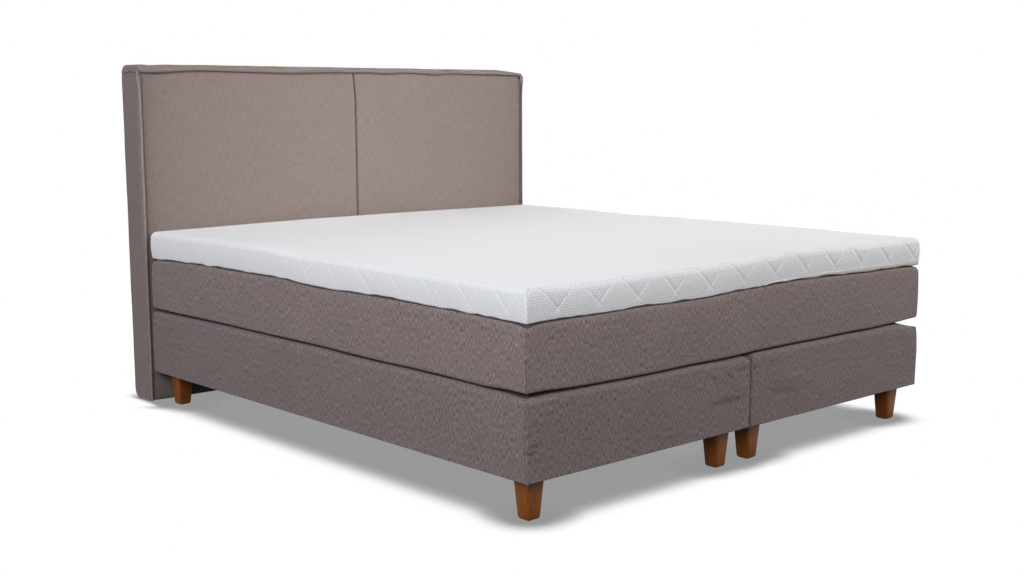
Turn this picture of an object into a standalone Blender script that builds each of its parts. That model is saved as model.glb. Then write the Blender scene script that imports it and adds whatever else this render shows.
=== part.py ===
# Box spring bed for two: a pair of sprung boxes on wooden legs, one mattress across both,
# a knitted topper and an upholstered headboard. Lengths are in metres.
# The foot of the bed points to -Y, the headboard stands at +Y, and +Z is up.
# The origin is on the floor, under the middle of the whole bed.

import bpy
import bmesh
from math import cos, pi, radians, sin
from mathutils import Vector

# Overall sizes
bed_width = 1.800
bed_length = 2.000
leg_height = 0.118
box_height = 0.226
mattress_height = 0.184
topper_height = 0.095
headboard_overhang = 0.014
headboard_height = 1.215
headboard_depth = 0.1257
headboard_floor_gap = 0.009

# Clearances
seat_gap = 0.0003
box_gap = 0.004
dust_hole_clearance = 0.002
cut_overrun = 0.002

# Frame of a box
rail_thickness = 0.022
rail_chamfer = 0.002
block_size = 0.090
block_height = 0.040
batten_width = 0.024
batten_height = 0.028
slat_width = 0.070
slat_thickness = 0.016
slat_pitch = 0.180
slat_notch = 0.003

# Springs, felt and upholstery of a box
spring_pitch = 0.085
felt_thickness = 0.004
pad_thickness = 0.030
cover_thickness = 0.004
box_side_bulge = 0.0025
box_corner_radius = 0.010
hem_width = 0.016
hem_thickness = 0.0012
hem_round = 0.003

# Legs and the nuts they screw into
leg_top_width = 0.062
leg_foot_width = 0.0445
leg_inset = 0.041
leg_corner_radius = 0.008
leg_sole_round = 0.005
stud_radius = 0.004
stud_length = 0.045
nut_wall = 0.0012
nut_barrel_length = 0.014
nut_flange_radius = 0.010
nut_flange_thickness = 0.0015

# Plates that hold the two boxes together
connector_length = 0.120
connector_width = 0.040
connector_thickness = 0.003
connector_corner_radius = 0.006
connector_hole_radius = 0.0025
connector_hole_inset = 0.012
connector_distance = 0.300

# Mattress
mattress_corner_radius = 0.020
mattress_side_bulge = 0.005
mattress_panel_thickness = 0.016
mattress_border_thickness = 0.005
mattress_foam_thickness = 0.022
pocket_pitch = 0.075

# Topper
topper_corner_radius = 0.040
topper_side_bulge = 0.006
topper_cover_thickness = 0.004
topper_floor_thickness = 0.003
topper_seam_height = 0.018
topper_top_radius = 0.034
topper_bottom_radius = 0.008
topper_crown = 0.005
topper_crown_width = 0.300
topper_wave = 0.004

# Headboard
headboard_pad_depth = 0.028
headboard_board_thickness = 0.008
headboard_border_thickness = 0.009
headboard_side_bulge = 0.004
headboard_top_bulge = 0.018
headboard_bulge_run = 0.100
headboard_frame_corner = 0.006
headboard_heel_radius = 0.035
pad_edge_drop = 0.005
pad_edge_width = 0.045
stile_width = 0.045
headboard_rail_height = 0.060
back_cloth_thickness = 0.0015

# Brackets that carry the headboard on the boxes
bracket_width = 0.050
bracket_arm = 0.060
bracket_thickness = 0.003
bracket_hole_radius = 0.0035

# Counts and shares that give the soft outlines
corner_steps = 3
leg_corner_steps = 2
round_steps = 4 * (leg_corner_steps + 1)
hole_steps = 8
heel_steps = 3
edge_steps = 4
wall_shares = (0.0, 0.25, 0.5, 0.75, 1.0)
scallop_depth_share = 0.16
edge_radius_loss_share = 0.6
least_corner_share = 0.125
topper_crown_shares = ((0.0, 0.0), (0.15, 0.45), (0.45, 0.85), (1.0, 1.0))
topper_wave_counts = (7, 12)
topper_wave_shares = (0.6, 0.4)
topper_side_steps = (7, 8)
pad_edge_shares = ((0.0, 1.0), (0.12, 0.45), (0.4, 0.12), (1.0, 0.0))
border_bulge_shares = ((0.0, 0.0), (0.08, 0.45), (0.25, 0.85), (0.5, 1.0), (0.75, 0.85), (0.92, 0.40),
                       (1.0, 0.0))
bulge_growth_shares = (0.25, 0.6, 1.0)

# Places that follow from the sizes
headboard_width = bed_width + 2 * headboard_overhang
half_depth = (bed_length + seat_gap + headboard_depth) / 2
foot_y = -half_depth
head_y = foot_y + bed_length
middle_y = (foot_y + head_y) / 2
headboard_front_y = head_y + seat_gap
headboard_back_y = half_depth

box_width = (bed_width - box_gap) / 2
box_top_z = leg_height + box_height
rail_inset = box_side_bulge + cover_thickness + seat_gap
rail_bottom_z = leg_height + hem_thickness + seat_gap
pad_bottom_z = box_top_z - cover_thickness - seat_gap - pad_thickness
felt_bottom_z = pad_bottom_z - seat_gap - felt_thickness
rail_top_z = felt_bottom_z - seat_gap
block_top_z = rail_bottom_z + block_height
batten_bottom_z = block_top_z + seat_gap
slat_bottom_z = batten_bottom_z + batten_height - slat_notch
spring_bottom_z = slat_bottom_z + slat_thickness + seat_gap
leg_centre_inset = leg_inset + leg_top_width / 2
nut_bore_radius = stud_radius + seat_gap
nut_barrel_radius = nut_bore_radius + nut_wall

mattress_bottom_z = box_top_z + seat_gap
mattress_top_z = mattress_bottom_z + mattress_height
topper_bottom_z = mattress_top_z + seat_gap
topper_seam_z = topper_bottom_z + topper_seam_height
topper_edge_z = topper_bottom_z + topper_height

piping_radius = headboard_border_thickness / 2
border_edge_x = headboard_width / 2 - headboard_side_bulge
border_edge_z = headboard_height - headboard_top_bulge
frame_x = border_edge_x - headboard_border_thickness - seat_gap
frame_top_z = border_edge_z - headboard_border_thickness - seat_gap
board_front_y = headboard_front_y + headboard_pad_depth + seat_gap
frame_front_y = board_front_y + headboard_board_thickness + seat_gap
frame_back_y = headboard_back_y - back_cloth_thickness - seat_gap
border_front_y = headboard_front_y + headboard_border_thickness + seat_gap

parents = {}
materials = {}


# Scene, materials and placing

def clear_scene():
    for old in list(bpy.data.objects):
        bpy.data.objects.remove(old, do_unlink=True)


def linear(hex_colour):
    channels = [int(hex_colour[place:place + 2], 16) / 255 for place in (1, 3, 5)]
    return [c / 12.92 if c <= 0.04045 else ((c + 0.055) / 1.055) ** 2.4 for c in channels] + [1.0]


def add_material(name, hex_colour, roughness, metallic=0.0):
    material = bpy.data.materials.new(name)
    material.use_nodes = True
    shader = material.node_tree.nodes["Principled BSDF"]
    shader.inputs["Base Color"].default_value = linear(hex_colour)
    shader.inputs["Roughness"].default_value = roughness
    shader.inputs["Metallic"].default_value = metallic
    material.diffuse_color = linear(hex_colour)
    materials[name] = material


def make_materials():
    add_material("taupe_upholstery", "#7d706f", 0.92)
    add_material("taupe_piping", "#83766f", 0.90)
    add_material("white_knit", "#e3e6e8", 0.88)
    add_material("stained_wood", "#744220", 0.42)
    add_material("pine", "#c9a36b", 0.65)
    add_material("board", "#a98a62", 0.75)
    add_material("foam", "#e6dcb8", 0.95)
    add_material("felt", "#8c8f90", 0.98)
    add_material("spring_wrap", "#dfe2e2", 0.85)
    add_material("black_cloth", "#242325", 0.95)
    add_material("zinc_steel", "#a4a8ab", 0.38, 1.0)


def add_joint_empty(name, place, parent=None):
    empty = bpy.data.objects.new(name, None)
    bpy.context.collection.objects.link(empty)
    base = parents[parent][1] if parent else Vector((0, 0, 0))
    empty.location = Vector(place) - base
    empty.parent = parents[parent][0] if parent else None
    parents[name] = (empty, Vector(place))


def add_part(name, shape, material, anchor, parent="bed_base"):
    # The shape is drawn in its place; its origin goes to the anchor
    anchor = Vector(anchor)
    bmesh.ops.translate(shape, verts=shape.verts, vec=-anchor)
    mesh = bpy.data.meshes.new(name)
    shape.to_mesh(mesh)
    shape.free()
    mesh.materials.append(materials[material])
    part = bpy.data.objects.new(name, mesh)
    bpy.context.collection.objects.link(part)
    empty, base = parents[parent]
    part.parent = empty
    part.location = anchor - base
    return part


def smooth(part, angle):
    part.data.shade_smooth()
    part.data.set_sharp_from_angle(angle=radians(angle))


def combine(part, shape, operation):
    # Joins a shape to a part, or cuts it out
    mesh = bpy.data.meshes.new("tool")
    shape.to_mesh(mesh)
    shape.free()
    tool = bpy.data.objects.new("tool", mesh)
    bpy.context.collection.objects.link(tool)
    change = part.modifiers.new("change", "BOOLEAN")
    change.operation = operation
    change.object = tool
    bpy.context.view_layer.update()
    depsgraph = bpy.context.evaluated_depsgraph_get()
    finished = bpy.data.meshes.new_from_object(part.evaluated_get(depsgraph))
    part.modifiers.remove(change)
    part.data = finished
    finished.name = part.name
    bpy.data.objects.remove(tool, do_unlink=True)


# Shapes

def outline(low, high, radii, side_steps=(1, 1), turn_steps=corner_steps):
    # A rectangle with round corners, drawn counter-clockwise from its high corner
    low_u, low_v = low
    high_u, high_v = high
    corners = ((high_u, high_v, -1, -1), (low_u, high_v, 1, -1), (low_u, low_v, 1, 1), (high_u, low_v, -1, 1))
    points = []
    starts = []
    for turn, (u, v, inward_u, inward_v) in enumerate(corners):
        radius = radii[turn]
        starts.append(len(points))
        for step in range(turn_steps + 1):
            angle = pi / 2 * (turn + step / turn_steps)
            centre_u = u + inward_u * radius
            centre_v = v + inward_v * radius
            points.append((centre_u + radius * cos(angle), centre_v + radius * sin(angle)))
    filled = []
    for turn in range(4):
        corner = points[starts[turn]:starts[turn] + turn_steps + 1]
        after = points[starts[(turn + 1) % 4]]
        filled.extend(corner)
        steps = side_steps[turn % 2]
        for step in range(1, steps):
            share = step / steps
            last = corner[-1]
            filled.append((last[0] + (after[0] - last[0]) * share, last[1] + (after[1] - last[1]) * share))
    return filled


def plan_ring(low, high, inset, radius, z, side_steps=(1, 1)):
    points = outline((low[0] + inset, low[1] + inset), (high[0] - inset, high[1] - inset),
                     (radius,) * 4, side_steps)
    return [Vector((x, y, z)) for x, y in points]


def circle(centre, radius, steps=round_steps):
    angles = [2 * pi * (step + 0.5) / steps for step in range(steps)]
    return [Vector((centre[0] + radius * cos(angle), centre[1] + radius * sin(angle), centre[2]))
            for angle in angles]


def close_end(shape, loop, domed):
    if not domed:
        shape.faces.new(loop)
        return
    tip = shape.verts.new(sum((vertex.co for vertex in loop), Vector()) / len(loop))
    for first, second in zip(loop, loop[1:] + loop[:1]):
        shape.faces.new((first, second, tip))


def loft(rings, domed=False):
    # Skin over matching rings, closed at both ends
    shape = bmesh.new()
    loops = [[shape.verts.new(point) for point in ring] for ring in rings]
    for lower, upper in zip(loops, loops[1:]):
        count = len(lower)
        for index in range(count):
            after = (index + 1) % count
            shape.faces.new((lower[index], lower[after], upper[after], upper[index]))
    close_end(shape, loops[0], domed)
    close_end(shape, loops[-1], domed)
    bmesh.ops.recalc_face_normals(shape, faces=shape.faces)
    return shape


def extruded(points, direction, shape=None):
    shape = shape or bmesh.new()
    face = shape.faces.new([shape.verts.new(point) for point in points])
    pulled = bmesh.ops.extrude_face_region(shape, geom=[face])
    moved = [item for item in pulled["geom"] if isinstance(item, bmesh.types.BMVert)]
    bmesh.ops.translate(shape, verts=moved, vec=Vector(direction))
    bmesh.ops.recalc_face_normals(shape, faces=shape.faces)
    return shape


def block(low, high, chamfer=0.0):
    shape = bmesh.new()
    bmesh.ops.create_cube(shape, size=1)
    low = Vector(low)
    size = Vector(high) - low
    for vertex in shape.verts:
        vertex.co = Vector(low[axis] + (vertex.co[axis] + 0.5) * size[axis] for axis in range(3))
    if chamfer:
        bmesh.ops.bevel(shape, geom=shape.edges[:], offset=chamfer, segments=1, affect="EDGES")
    return shape


def blocks(corner_pairs):
    # Several separate blocks in one shape, for a joint with another part
    shape = bmesh.new()
    for low, high in corner_pairs:
        piece = block(low, high)
        mesh = bpy.data.meshes.new("piece")
        piece.to_mesh(mesh)
        piece.free()
        shape.from_mesh(mesh)
        bpy.data.meshes.remove(mesh)
    return shape


def drills(centres, radius, direction, steps=hole_steps):
    # Round cutters that start at each centre and run along the direction
    shape = bmesh.new()
    direction = Vector(direction)
    turn = Vector((0, 0, 1)).rotation_difference(direction)
    for centre in centres:
        points = [Vector(centre) + turn @ point for point in circle((0, 0, 0), radius, steps)]
        extruded(points, direction, shape)
    return shape


def turned(profile, centre):
    # Spins a closed profile of radius and height about the upright line through the centre
    shape = bmesh.new()
    start = 2 * pi * 0.5 / round_steps
    corners = [shape.verts.new((centre[0] + radius * cos(start), centre[1] + radius * sin(start), z))
               for radius, z in profile]
    edges = [shape.edges.new(pair) for pair in zip(corners, corners[1:] + corners[:1])]
    bmesh.ops.spin(shape, geom=corners + edges, cent=centre, axis=(0, 0, 1), angle=2 * pi,
                   steps=round_steps, use_merge=True)
    bmesh.ops.recalc_face_normals(shape, faces=shape.faces)
    return shape


def wall_bulge(share):
    return sin(pi * share)


def scalloped_block(low, high, bottom_z, top_z, pitch):
    # A block of upright springs, each showing as a round rib at the block's edge
    depth = pitch * scallop_depth_share
    corners = ((low[0], low[1]), (high[0], low[1]), (high[0], high[1]), (low[0], high[1]))
    inner = [Vector((x + (depth if x == low[0] else -depth),
                     y + (depth if y == low[1] else -depth), bottom_z)) for x, y in corners]
    points = []
    for start, end in zip(inner, inner[1:] + inner[:1]):
        along = end - start
        outward = Vector((along.y, -along.x, 0)).normalized() * depth
        count = round(along.length / pitch)
        for spring in range(count):
            points.append(start + along * spring / count)
            points.append(start + along * (spring + 1 / 3) / count + outward)
            points.append(start + along * (spring + 2 / 3) / count + outward)
    return extruded(points, (0, 0, top_z - bottom_z))


# The two boxes

def box_corners(side):
    # Low and high corner of a box in plan; side is -1 for the left one and 1 for the right one
    inner_x = side * box_gap / 2
    outer_x = inner_x + side * box_width
    return (min(inner_x, outer_x), foot_y), (max(inner_x, outer_x), head_y)


def leg_centres(side):
    low, high = box_corners(side)
    outer_x = low[0] if side < 0 else high[0]
    inner_x = high[0] if side < 0 else low[0]
    places = {}
    for end, y in (("foot", foot_y + leg_centre_inset), ("head", head_y - leg_centre_inset)):
        places[end + "_outer"] = (outer_x - side * leg_centre_inset, y)
        places[end + "_inner"] = (inner_x + side * leg_centre_inset, y)
    return places


def build_box_frame(side, name):
    low, high = box_corners(side)
    low_x = low[0] + rail_inset
    high_x = high[0] - rail_inset
    low_y = low[1] + rail_inset
    high_y = high[1] - rail_inset
    side_rails = (("outer", low_x if side < 0 else high_x - rail_thickness),
                  ("inner", high_x - rail_thickness if side < 0 else low_x))
    for label, x in side_rails:
        shape = block((x, low_y, rail_bottom_z), (x + rail_thickness, high_y, rail_top_z), rail_chamfer)
        add_part(name + "_box_" + label + "_rail", shape, "pine",
                 (x + rail_thickness / 2, middle_y, rail_bottom_z))

    end_low_x = low_x + rail_thickness + seat_gap
    end_high_x = high_x - rail_thickness - seat_gap
    centre_x = (low[0] + high[0]) / 2
    legs = leg_centres(side)
    for end, outer_y, inward in (("foot", low_y, 1), ("head", high_y, -1)):
        inner_y = outer_y + inward * rail_thickness
        block_y = inner_y + inward * block_size
        mid_y = (outer_y + inner_y) / 2
        shape = block((end_low_x, min(outer_y, inner_y), rail_bottom_z),
                      (end_high_x, max(outer_y, inner_y), rail_top_z))
        rail = add_part(name + "_box_" + end + "_rail", shape, "pine", (centre_x, mid_y, rail_bottom_z))
        glued = blocks([((x, min(mid_y, block_y), rail_bottom_z),
                         (x + block_size, max(mid_y, block_y), block_top_z))
                        for x in (end_low_x, end_high_x - block_size)])
        combine(rail, glued, "UNION")
        bores = [(legs[end + place][0], legs[end + place][1], rail_bottom_z - cut_overrun)
                 for place in ("_outer", "_inner")]
        bore_run = (0, 0, block_height + 2 * cut_overrun)
        combine(rail, drills(bores, nut_barrel_radius + seat_gap, bore_run, round_steps), "DIFFERENCE")
    return end_low_x, end_high_x, low_y + rail_thickness + seat_gap, high_y - rail_thickness - seat_gap


def build_box_inside(side, name, room):
    low_x, high_x, low_y, high_y = room
    centre = ((low_x + high_x) / 2, middle_y)
    shape = blocks([((x, low_y, batten_bottom_z), (x + batten_width, high_y, batten_bottom_z + batten_height))
                    for x in (low_x, high_x - batten_width)])
    deck = add_part(name + "_box_slat_deck", shape, "pine", centre + (batten_bottom_z,))
    gaps = max(1, round((high_y - low_y - slat_width) / slat_pitch))
    step = (high_y - low_y - slat_width - 2 * slat_notch) / gaps
    slats = []
    for slat in range(gaps + 1):
        y = low_y + slat_notch + slat * step
        slats.append(((low_x + slat_notch, y, slat_bottom_z),
                      (high_x - slat_notch, y + slat_width, slat_bottom_z + slat_thickness)))
    combine(deck, blocks(slats), "UNION")

    springs = scalloped_block((low_x, low_y), (high_x, high_y), spring_bottom_z, rail_top_z, spring_pitch)
    add_part(name + "_box_spring_unit", springs, "spring_wrap", centre + (spring_bottom_z,))

    low, high = box_corners(side)
    felt = block((low[0] + rail_inset, low[1] + rail_inset, felt_bottom_z),
                 (high[0] - rail_inset, high[1] - rail_inset, felt_bottom_z + felt_thickness))
    chamfer_upright_edges(felt)
    add_part(name + "_box_felt", felt, "felt", centre + (felt_bottom_z,))


def chamfer_upright_edges(shape):
    # Chamfers the four upright corner edges of a flat block
    upright = [edge for edge in shape.edges if abs(edge.verts[0].co.z - edge.verts[1].co.z) > seat_gap
               and (edge.verts[0].co.xy - edge.verts[1].co.xy).length < seat_gap]
    bmesh.ops.bevel(shape, geom=upright, offset=rail_chamfer, segments=1, affect="EDGES")


def rounded_top(inset, radius, top_z):
    # Inset and height along a rounded upper edge, from the wall to the flat top
    angles = [pi / 2 * step / edge_steps for step in range(edge_steps + 1)]
    return [(inset + radius * (1 - cos(angle)), top_z - radius + radius * sin(angle)) for angle in angles]


def build_box_upholstery(side, name):
    low, high = box_corners(side)
    centre = ((low[0] + high[0]) / 2, middle_y)
    edge_radius = pad_thickness
    inner_radius = edge_radius - cover_thickness
    pad_radius = inner_radius - seat_gap
    inner_wall = box_side_bulge + cover_thickness

    pad_top_z = pad_bottom_z + pad_thickness
    pad_profile = [(rail_inset, pad_bottom_z)] + rounded_top(rail_inset, pad_radius, pad_top_z)
    pad = loft([plan_ring(low, high, inset, rail_chamfer, z) for inset, z in pad_profile])
    smooth(add_part(name + "_box_top_pad", pad, "foam", centre + (pad_bottom_z,)), 40)

    inner = list(reversed(rounded_top(inner_wall, inner_radius, box_top_z - cover_thickness)))
    inner += [(inner_wall, leg_height + hem_thickness), (hem_width, leg_height + hem_thickness)]
    wall_low_z = leg_height + hem_round
    wall_high_z = box_top_z - edge_radius
    outer = [(hem_width, leg_height), (box_side_bulge + hem_round, leg_height)]
    for share in wall_shares[:-1]:
        z = wall_low_z + (wall_high_z - wall_low_z) * share
        outer.append((box_side_bulge * (1 - wall_bulge(share)), z))
    outer += rounded_top(box_side_bulge, edge_radius, box_top_z)
    rings = [plan_ring(low, high, inset, rail_chamfer, z) for inset, z in inner]
    rings.append(plan_ring(low, high, hem_width, rail_chamfer, leg_height))
    for inset, z in outer[1:]:
        radius = box_corner_radius * (1 - edge_radius_loss_share * inset / (box_side_bulge + edge_radius))
        rings.append(plan_ring(low, high, inset, radius, z))
    smooth(add_part(name + "_box_cover", loft(rings), "taupe_upholstery", centre + (leg_height,)), 40)

    dust_low = (low[0] + hem_width + seat_gap, low[1] + hem_width + seat_gap, leg_height)
    dust_high = (high[0] - hem_width - seat_gap, high[1] - hem_width - seat_gap, leg_height + hem_thickness)
    sheet = block(dust_low, dust_high)
    chamfer_upright_edges(sheet)
    dust = add_part(name + "_box_dust_cover", sheet, "black_cloth", centre + (leg_height,))
    holes = [(x, y, leg_height - cut_overrun) for x, y in leg_centres(side).values()]
    combine(dust, drills(holes, stud_radius + dust_hole_clearance, (0, 0, hem_thickness + 2 * cut_overrun)),
            "DIFFERENCE")


def leg_ring(x, y, width, radius, z):
    half = width / 2
    points = outline((x - half, y - half), (x + half, y + half), (radius,) * 4, turn_steps=leg_corner_steps)
    return [Vector((u, v, z)) for u, v in points]


def build_legs(side, name):
    leg_top_z = leg_height - seat_gap
    for label, (x, y) in leg_centres(side).items():
        foot_radius = leg_corner_radius * leg_foot_width / leg_top_width
        sole_width = leg_foot_width - 2 * leg_sole_round
        rings = [leg_ring(x, y, sole_width, foot_radius / 2, 0),
                 leg_ring(x, y, leg_foot_width, foot_radius, leg_sole_round),
                 leg_ring(x, y, leg_top_width, leg_corner_radius, leg_top_z),
                 circle((x, y, leg_top_z), stud_radius),
                 circle((x, y, leg_top_z + stud_length), stud_radius)]
        leg = add_part(name + "_leg_" + label, loft(rings), "stained_wood", (x, y, 0))
        smooth(leg, 50)
        flange_z = block_top_z + seat_gap
        barrel_z = flange_z - nut_barrel_length
        nut_top_z = flange_z + nut_flange_thickness
        profile = ((nut_bore_radius, barrel_z), (nut_barrel_radius, barrel_z),
                   (nut_barrel_radius, flange_z), (nut_flange_radius, flange_z),
                   (nut_flange_radius, nut_top_z), (nut_bore_radius, nut_top_z))
        nut = add_part(name + "_leg_nut_" + label, turned(profile, (x, y, 0)), "zinc_steel", (x, y, flange_z))
        smooth(nut, 40)


def build_boxes():
    for side, name in ((-1, "left"), (1, "right")):
        room = build_box_frame(side, name)
        build_box_inside(side, name, room)
        build_box_upholstery(side, name)
        build_legs(side, name)

    top_z = leg_height - seat_gap
    half_length = connector_length / 2
    half_width = connector_width / 2
    for end, y in (("foot", foot_y + connector_distance), ("head", head_y - connector_distance)):
        points = outline((-half_length, y - half_width), (half_length, y + half_width),
                         (connector_corner_radius,) * 4)
        shape = extruded([Vector((u, v, top_z)) for u, v in points], (0, 0, -connector_thickness))
        plate = add_part("box_connector_" + end, shape, "zinc_steel", (0, y, top_z))
        reach_x = half_length - connector_hole_inset
        reach_y = half_width - connector_hole_inset
        holes = [(x, y + offset, top_z - connector_thickness - cut_overrun)
                 for x in (-reach_x, reach_x) for offset in (-reach_y, reach_y)]
        combine(plate, drills(holes, connector_hole_radius, (0, 0, connector_thickness + 2 * cut_overrun)),
                "DIFFERENCE")


# The mattress

def corner_left(radius, inset):
    # The corner radius of a ring set in by the inset, which shrinks as in parallel curves
    return max(radius - inset, radius * least_corner_share)


def concentric_rings(low, high, profile, radius, side_steps=(1, 1)):
    return [plan_ring(low, high, inset, corner_left(radius, inset), z, side_steps)
            for inset, z in profile]


def build_mattress():
    low = (-bed_width / 2, foot_y)
    high = (bed_width / 2, head_y)
    parent = "mattress_lift"
    radius = mattress_corner_radius
    thickness = mattress_panel_thickness
    seam = mattress_side_bulge
    border_low_z = mattress_bottom_z + thickness + seat_gap
    border_high_z = mattress_top_z - thickness - seat_gap

    lower_edge = rounded_top(seam, thickness, thickness)
    lower = [(inset, mattress_bottom_z + thickness - z) for inset, z in reversed(lower_edge)]
    upper = rounded_top(seam, thickness, mattress_top_z)
    upper_z = border_high_z + seat_gap
    for label, profile, z in (("bottom", lower, mattress_bottom_z), ("top", upper, upper_z)):
        shape = loft(concentric_rings(low, high, profile, radius))
        panel = add_part("mattress_" + label + "_panel", shape, "taupe_upholstery", (0, middle_y, z), parent)
        smooth(panel, 40)

    inner_wall = seam + mattress_border_thickness
    profile = [(inner_wall, border_high_z), (inner_wall, border_low_z)]
    profile += [(seam * (1 - wall_bulge(share)), border_low_z + (border_high_z - border_low_z) * share)
                for share in wall_shares]
    shape = band(concentric_rings(low, high, profile, radius))
    border = add_part("mattress_border", shape, "taupe_upholstery", (0, middle_y, border_low_z), parent)
    smooth(border, 40)

    fill_inset = inner_wall + seat_gap
    core_low_z = border_low_z + mattress_foam_thickness + seat_gap
    core_high_z = border_high_z - mattress_foam_thickness - seat_gap
    for label, bottom_z in (("lower", border_low_z), ("upper", border_high_z - mattress_foam_thickness)):
        profile = [(fill_inset, bottom_z), (fill_inset, bottom_z + mattress_foam_thickness)]
        foam = loft(concentric_rings(low, high, profile, radius))
        add_part("mattress_" + label + "_foam", foam, "foam", (0, middle_y, bottom_z), parent)
    core_low = (low[0] + fill_inset, low[1] + fill_inset)
    core_high = (high[0] - fill_inset, high[1] - fill_inset)
    core = scalloped_block(core_low, core_high, core_low_z, core_high_z, pocket_pitch)
    add_part("mattress_spring_core", core, "spring_wrap", (0, middle_y, core_low_z), parent)


def band(rings):
    # Skin over matching rings that closes on itself, as a hoop does
    shape = bmesh.new()
    loops = [[shape.verts.new(point) for point in ring] for ring in rings]
    for lower, upper in zip(loops, loops[1:] + loops[:1]):
        count = len(lower)
        for index in range(count):
            after = (index + 1) % count
            shape.faces.new((lower[index], lower[after], upper[after], upper[index]))
    bmesh.ops.recalc_face_normals(shape, faces=shape.faces)
    return shape


# The topper

def perimeter_shares(ring):
    lengths = [(after - point).length for point, after in zip(ring, ring[1:] + ring[:1])]
    total = sum(lengths)
    return [sum(lengths[:index]) / total for index in range(len(ring))]


def soft_wave(share):
    # Slow rise and fall of the topper's edge as one walks round it, from 0 to 1
    height = sum(weight * sin(2 * pi * count * share + count)
                 for count, weight in zip(topper_wave_counts, topper_wave_shares))
    return 0.5 + 0.5 * height


def build_topper():
    low = (-bed_width / 2, foot_y)
    high = (bed_width / 2, head_y)
    parent = "topper_lift"
    radius = topper_corner_radius
    steps = topper_side_steps
    inner_wall = topper_side_bulge + topper_cover_thickness
    floor_z = topper_bottom_z + topper_floor_thickness
    lower_top_z = topper_seam_z - seat_gap
    seam_round = topper_bottom_radius

    bottom = [(topper_side_bulge + seam_round * (1 - cos(angle)),
               topper_bottom_z + seam_round * (1 - sin(angle))) for angle in (pi / 2, pi / 4, 0)]
    profile = bottom + [(topper_side_bulge, lower_top_z), (inner_wall, lower_top_z), (inner_wall, floor_z)]
    tray = loft(concentric_rings(low, high, profile, radius), domed=True)
    smooth(add_part("topper_lower_cover", tray, "white_knit", (0, middle_y, topper_bottom_z), parent), 40)

    ceiling_z = topper_edge_z - topper_cover_thickness
    inner_radius = topper_top_radius - topper_cover_thickness
    core_inset = inner_wall + seat_gap
    core_top_z = ceiling_z - seat_gap
    profile = [(core_inset, floor_z + seat_gap)]
    profile += rounded_top(core_inset, inner_radius - seat_gap, core_top_z)
    core = loft(concentric_rings(low, high, profile, radius), domed=True)
    smooth(add_part("topper_core", core, "foam", (0, middle_y, floor_z + seat_gap), parent), 40)

    inside = list(reversed(rounded_top(inner_wall, inner_radius, ceiling_z))) + [(inner_wall, topper_seam_z)]
    rings = concentric_rings(low, high, inside, radius, steps)
    base = plan_ring(low, high, 0, radius, topper_seam_z, steps)
    waves = [soft_wave(share) for share in perimeter_shares(base)]
    wall_high_z = topper_edge_z - topper_top_radius
    outside = []
    for share in wall_shares[:-1]:
        inset = topper_side_bulge * (1 - wall_bulge(share))
        outside.append((inset, topper_seam_z + (wall_high_z - topper_seam_z) * share, share))
    for inset, z in rounded_top(topper_side_bulge, topper_top_radius, topper_edge_z):
        outside.append((inset, z, 1.0))
    crown_inset = topper_side_bulge + topper_top_radius
    for run, rise in topper_crown_shares[1:]:
        outside.append((crown_inset + topper_crown_width * run, topper_edge_z + topper_crown * rise, 1 - run))
    for inset, z, weight in outside:
        ring = plan_ring(low, high, inset, corner_left(radius, inset), z, steps)
        for point, wave in zip(ring, waves):
            point.z += topper_wave * wave * weight
        rings.append(ring)
    cover = loft(rings, domed=True)
    smooth(add_part("topper_upper_cover", cover, "white_knit", (0, middle_y, topper_seam_z), parent), 40)


# The headboard

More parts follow.
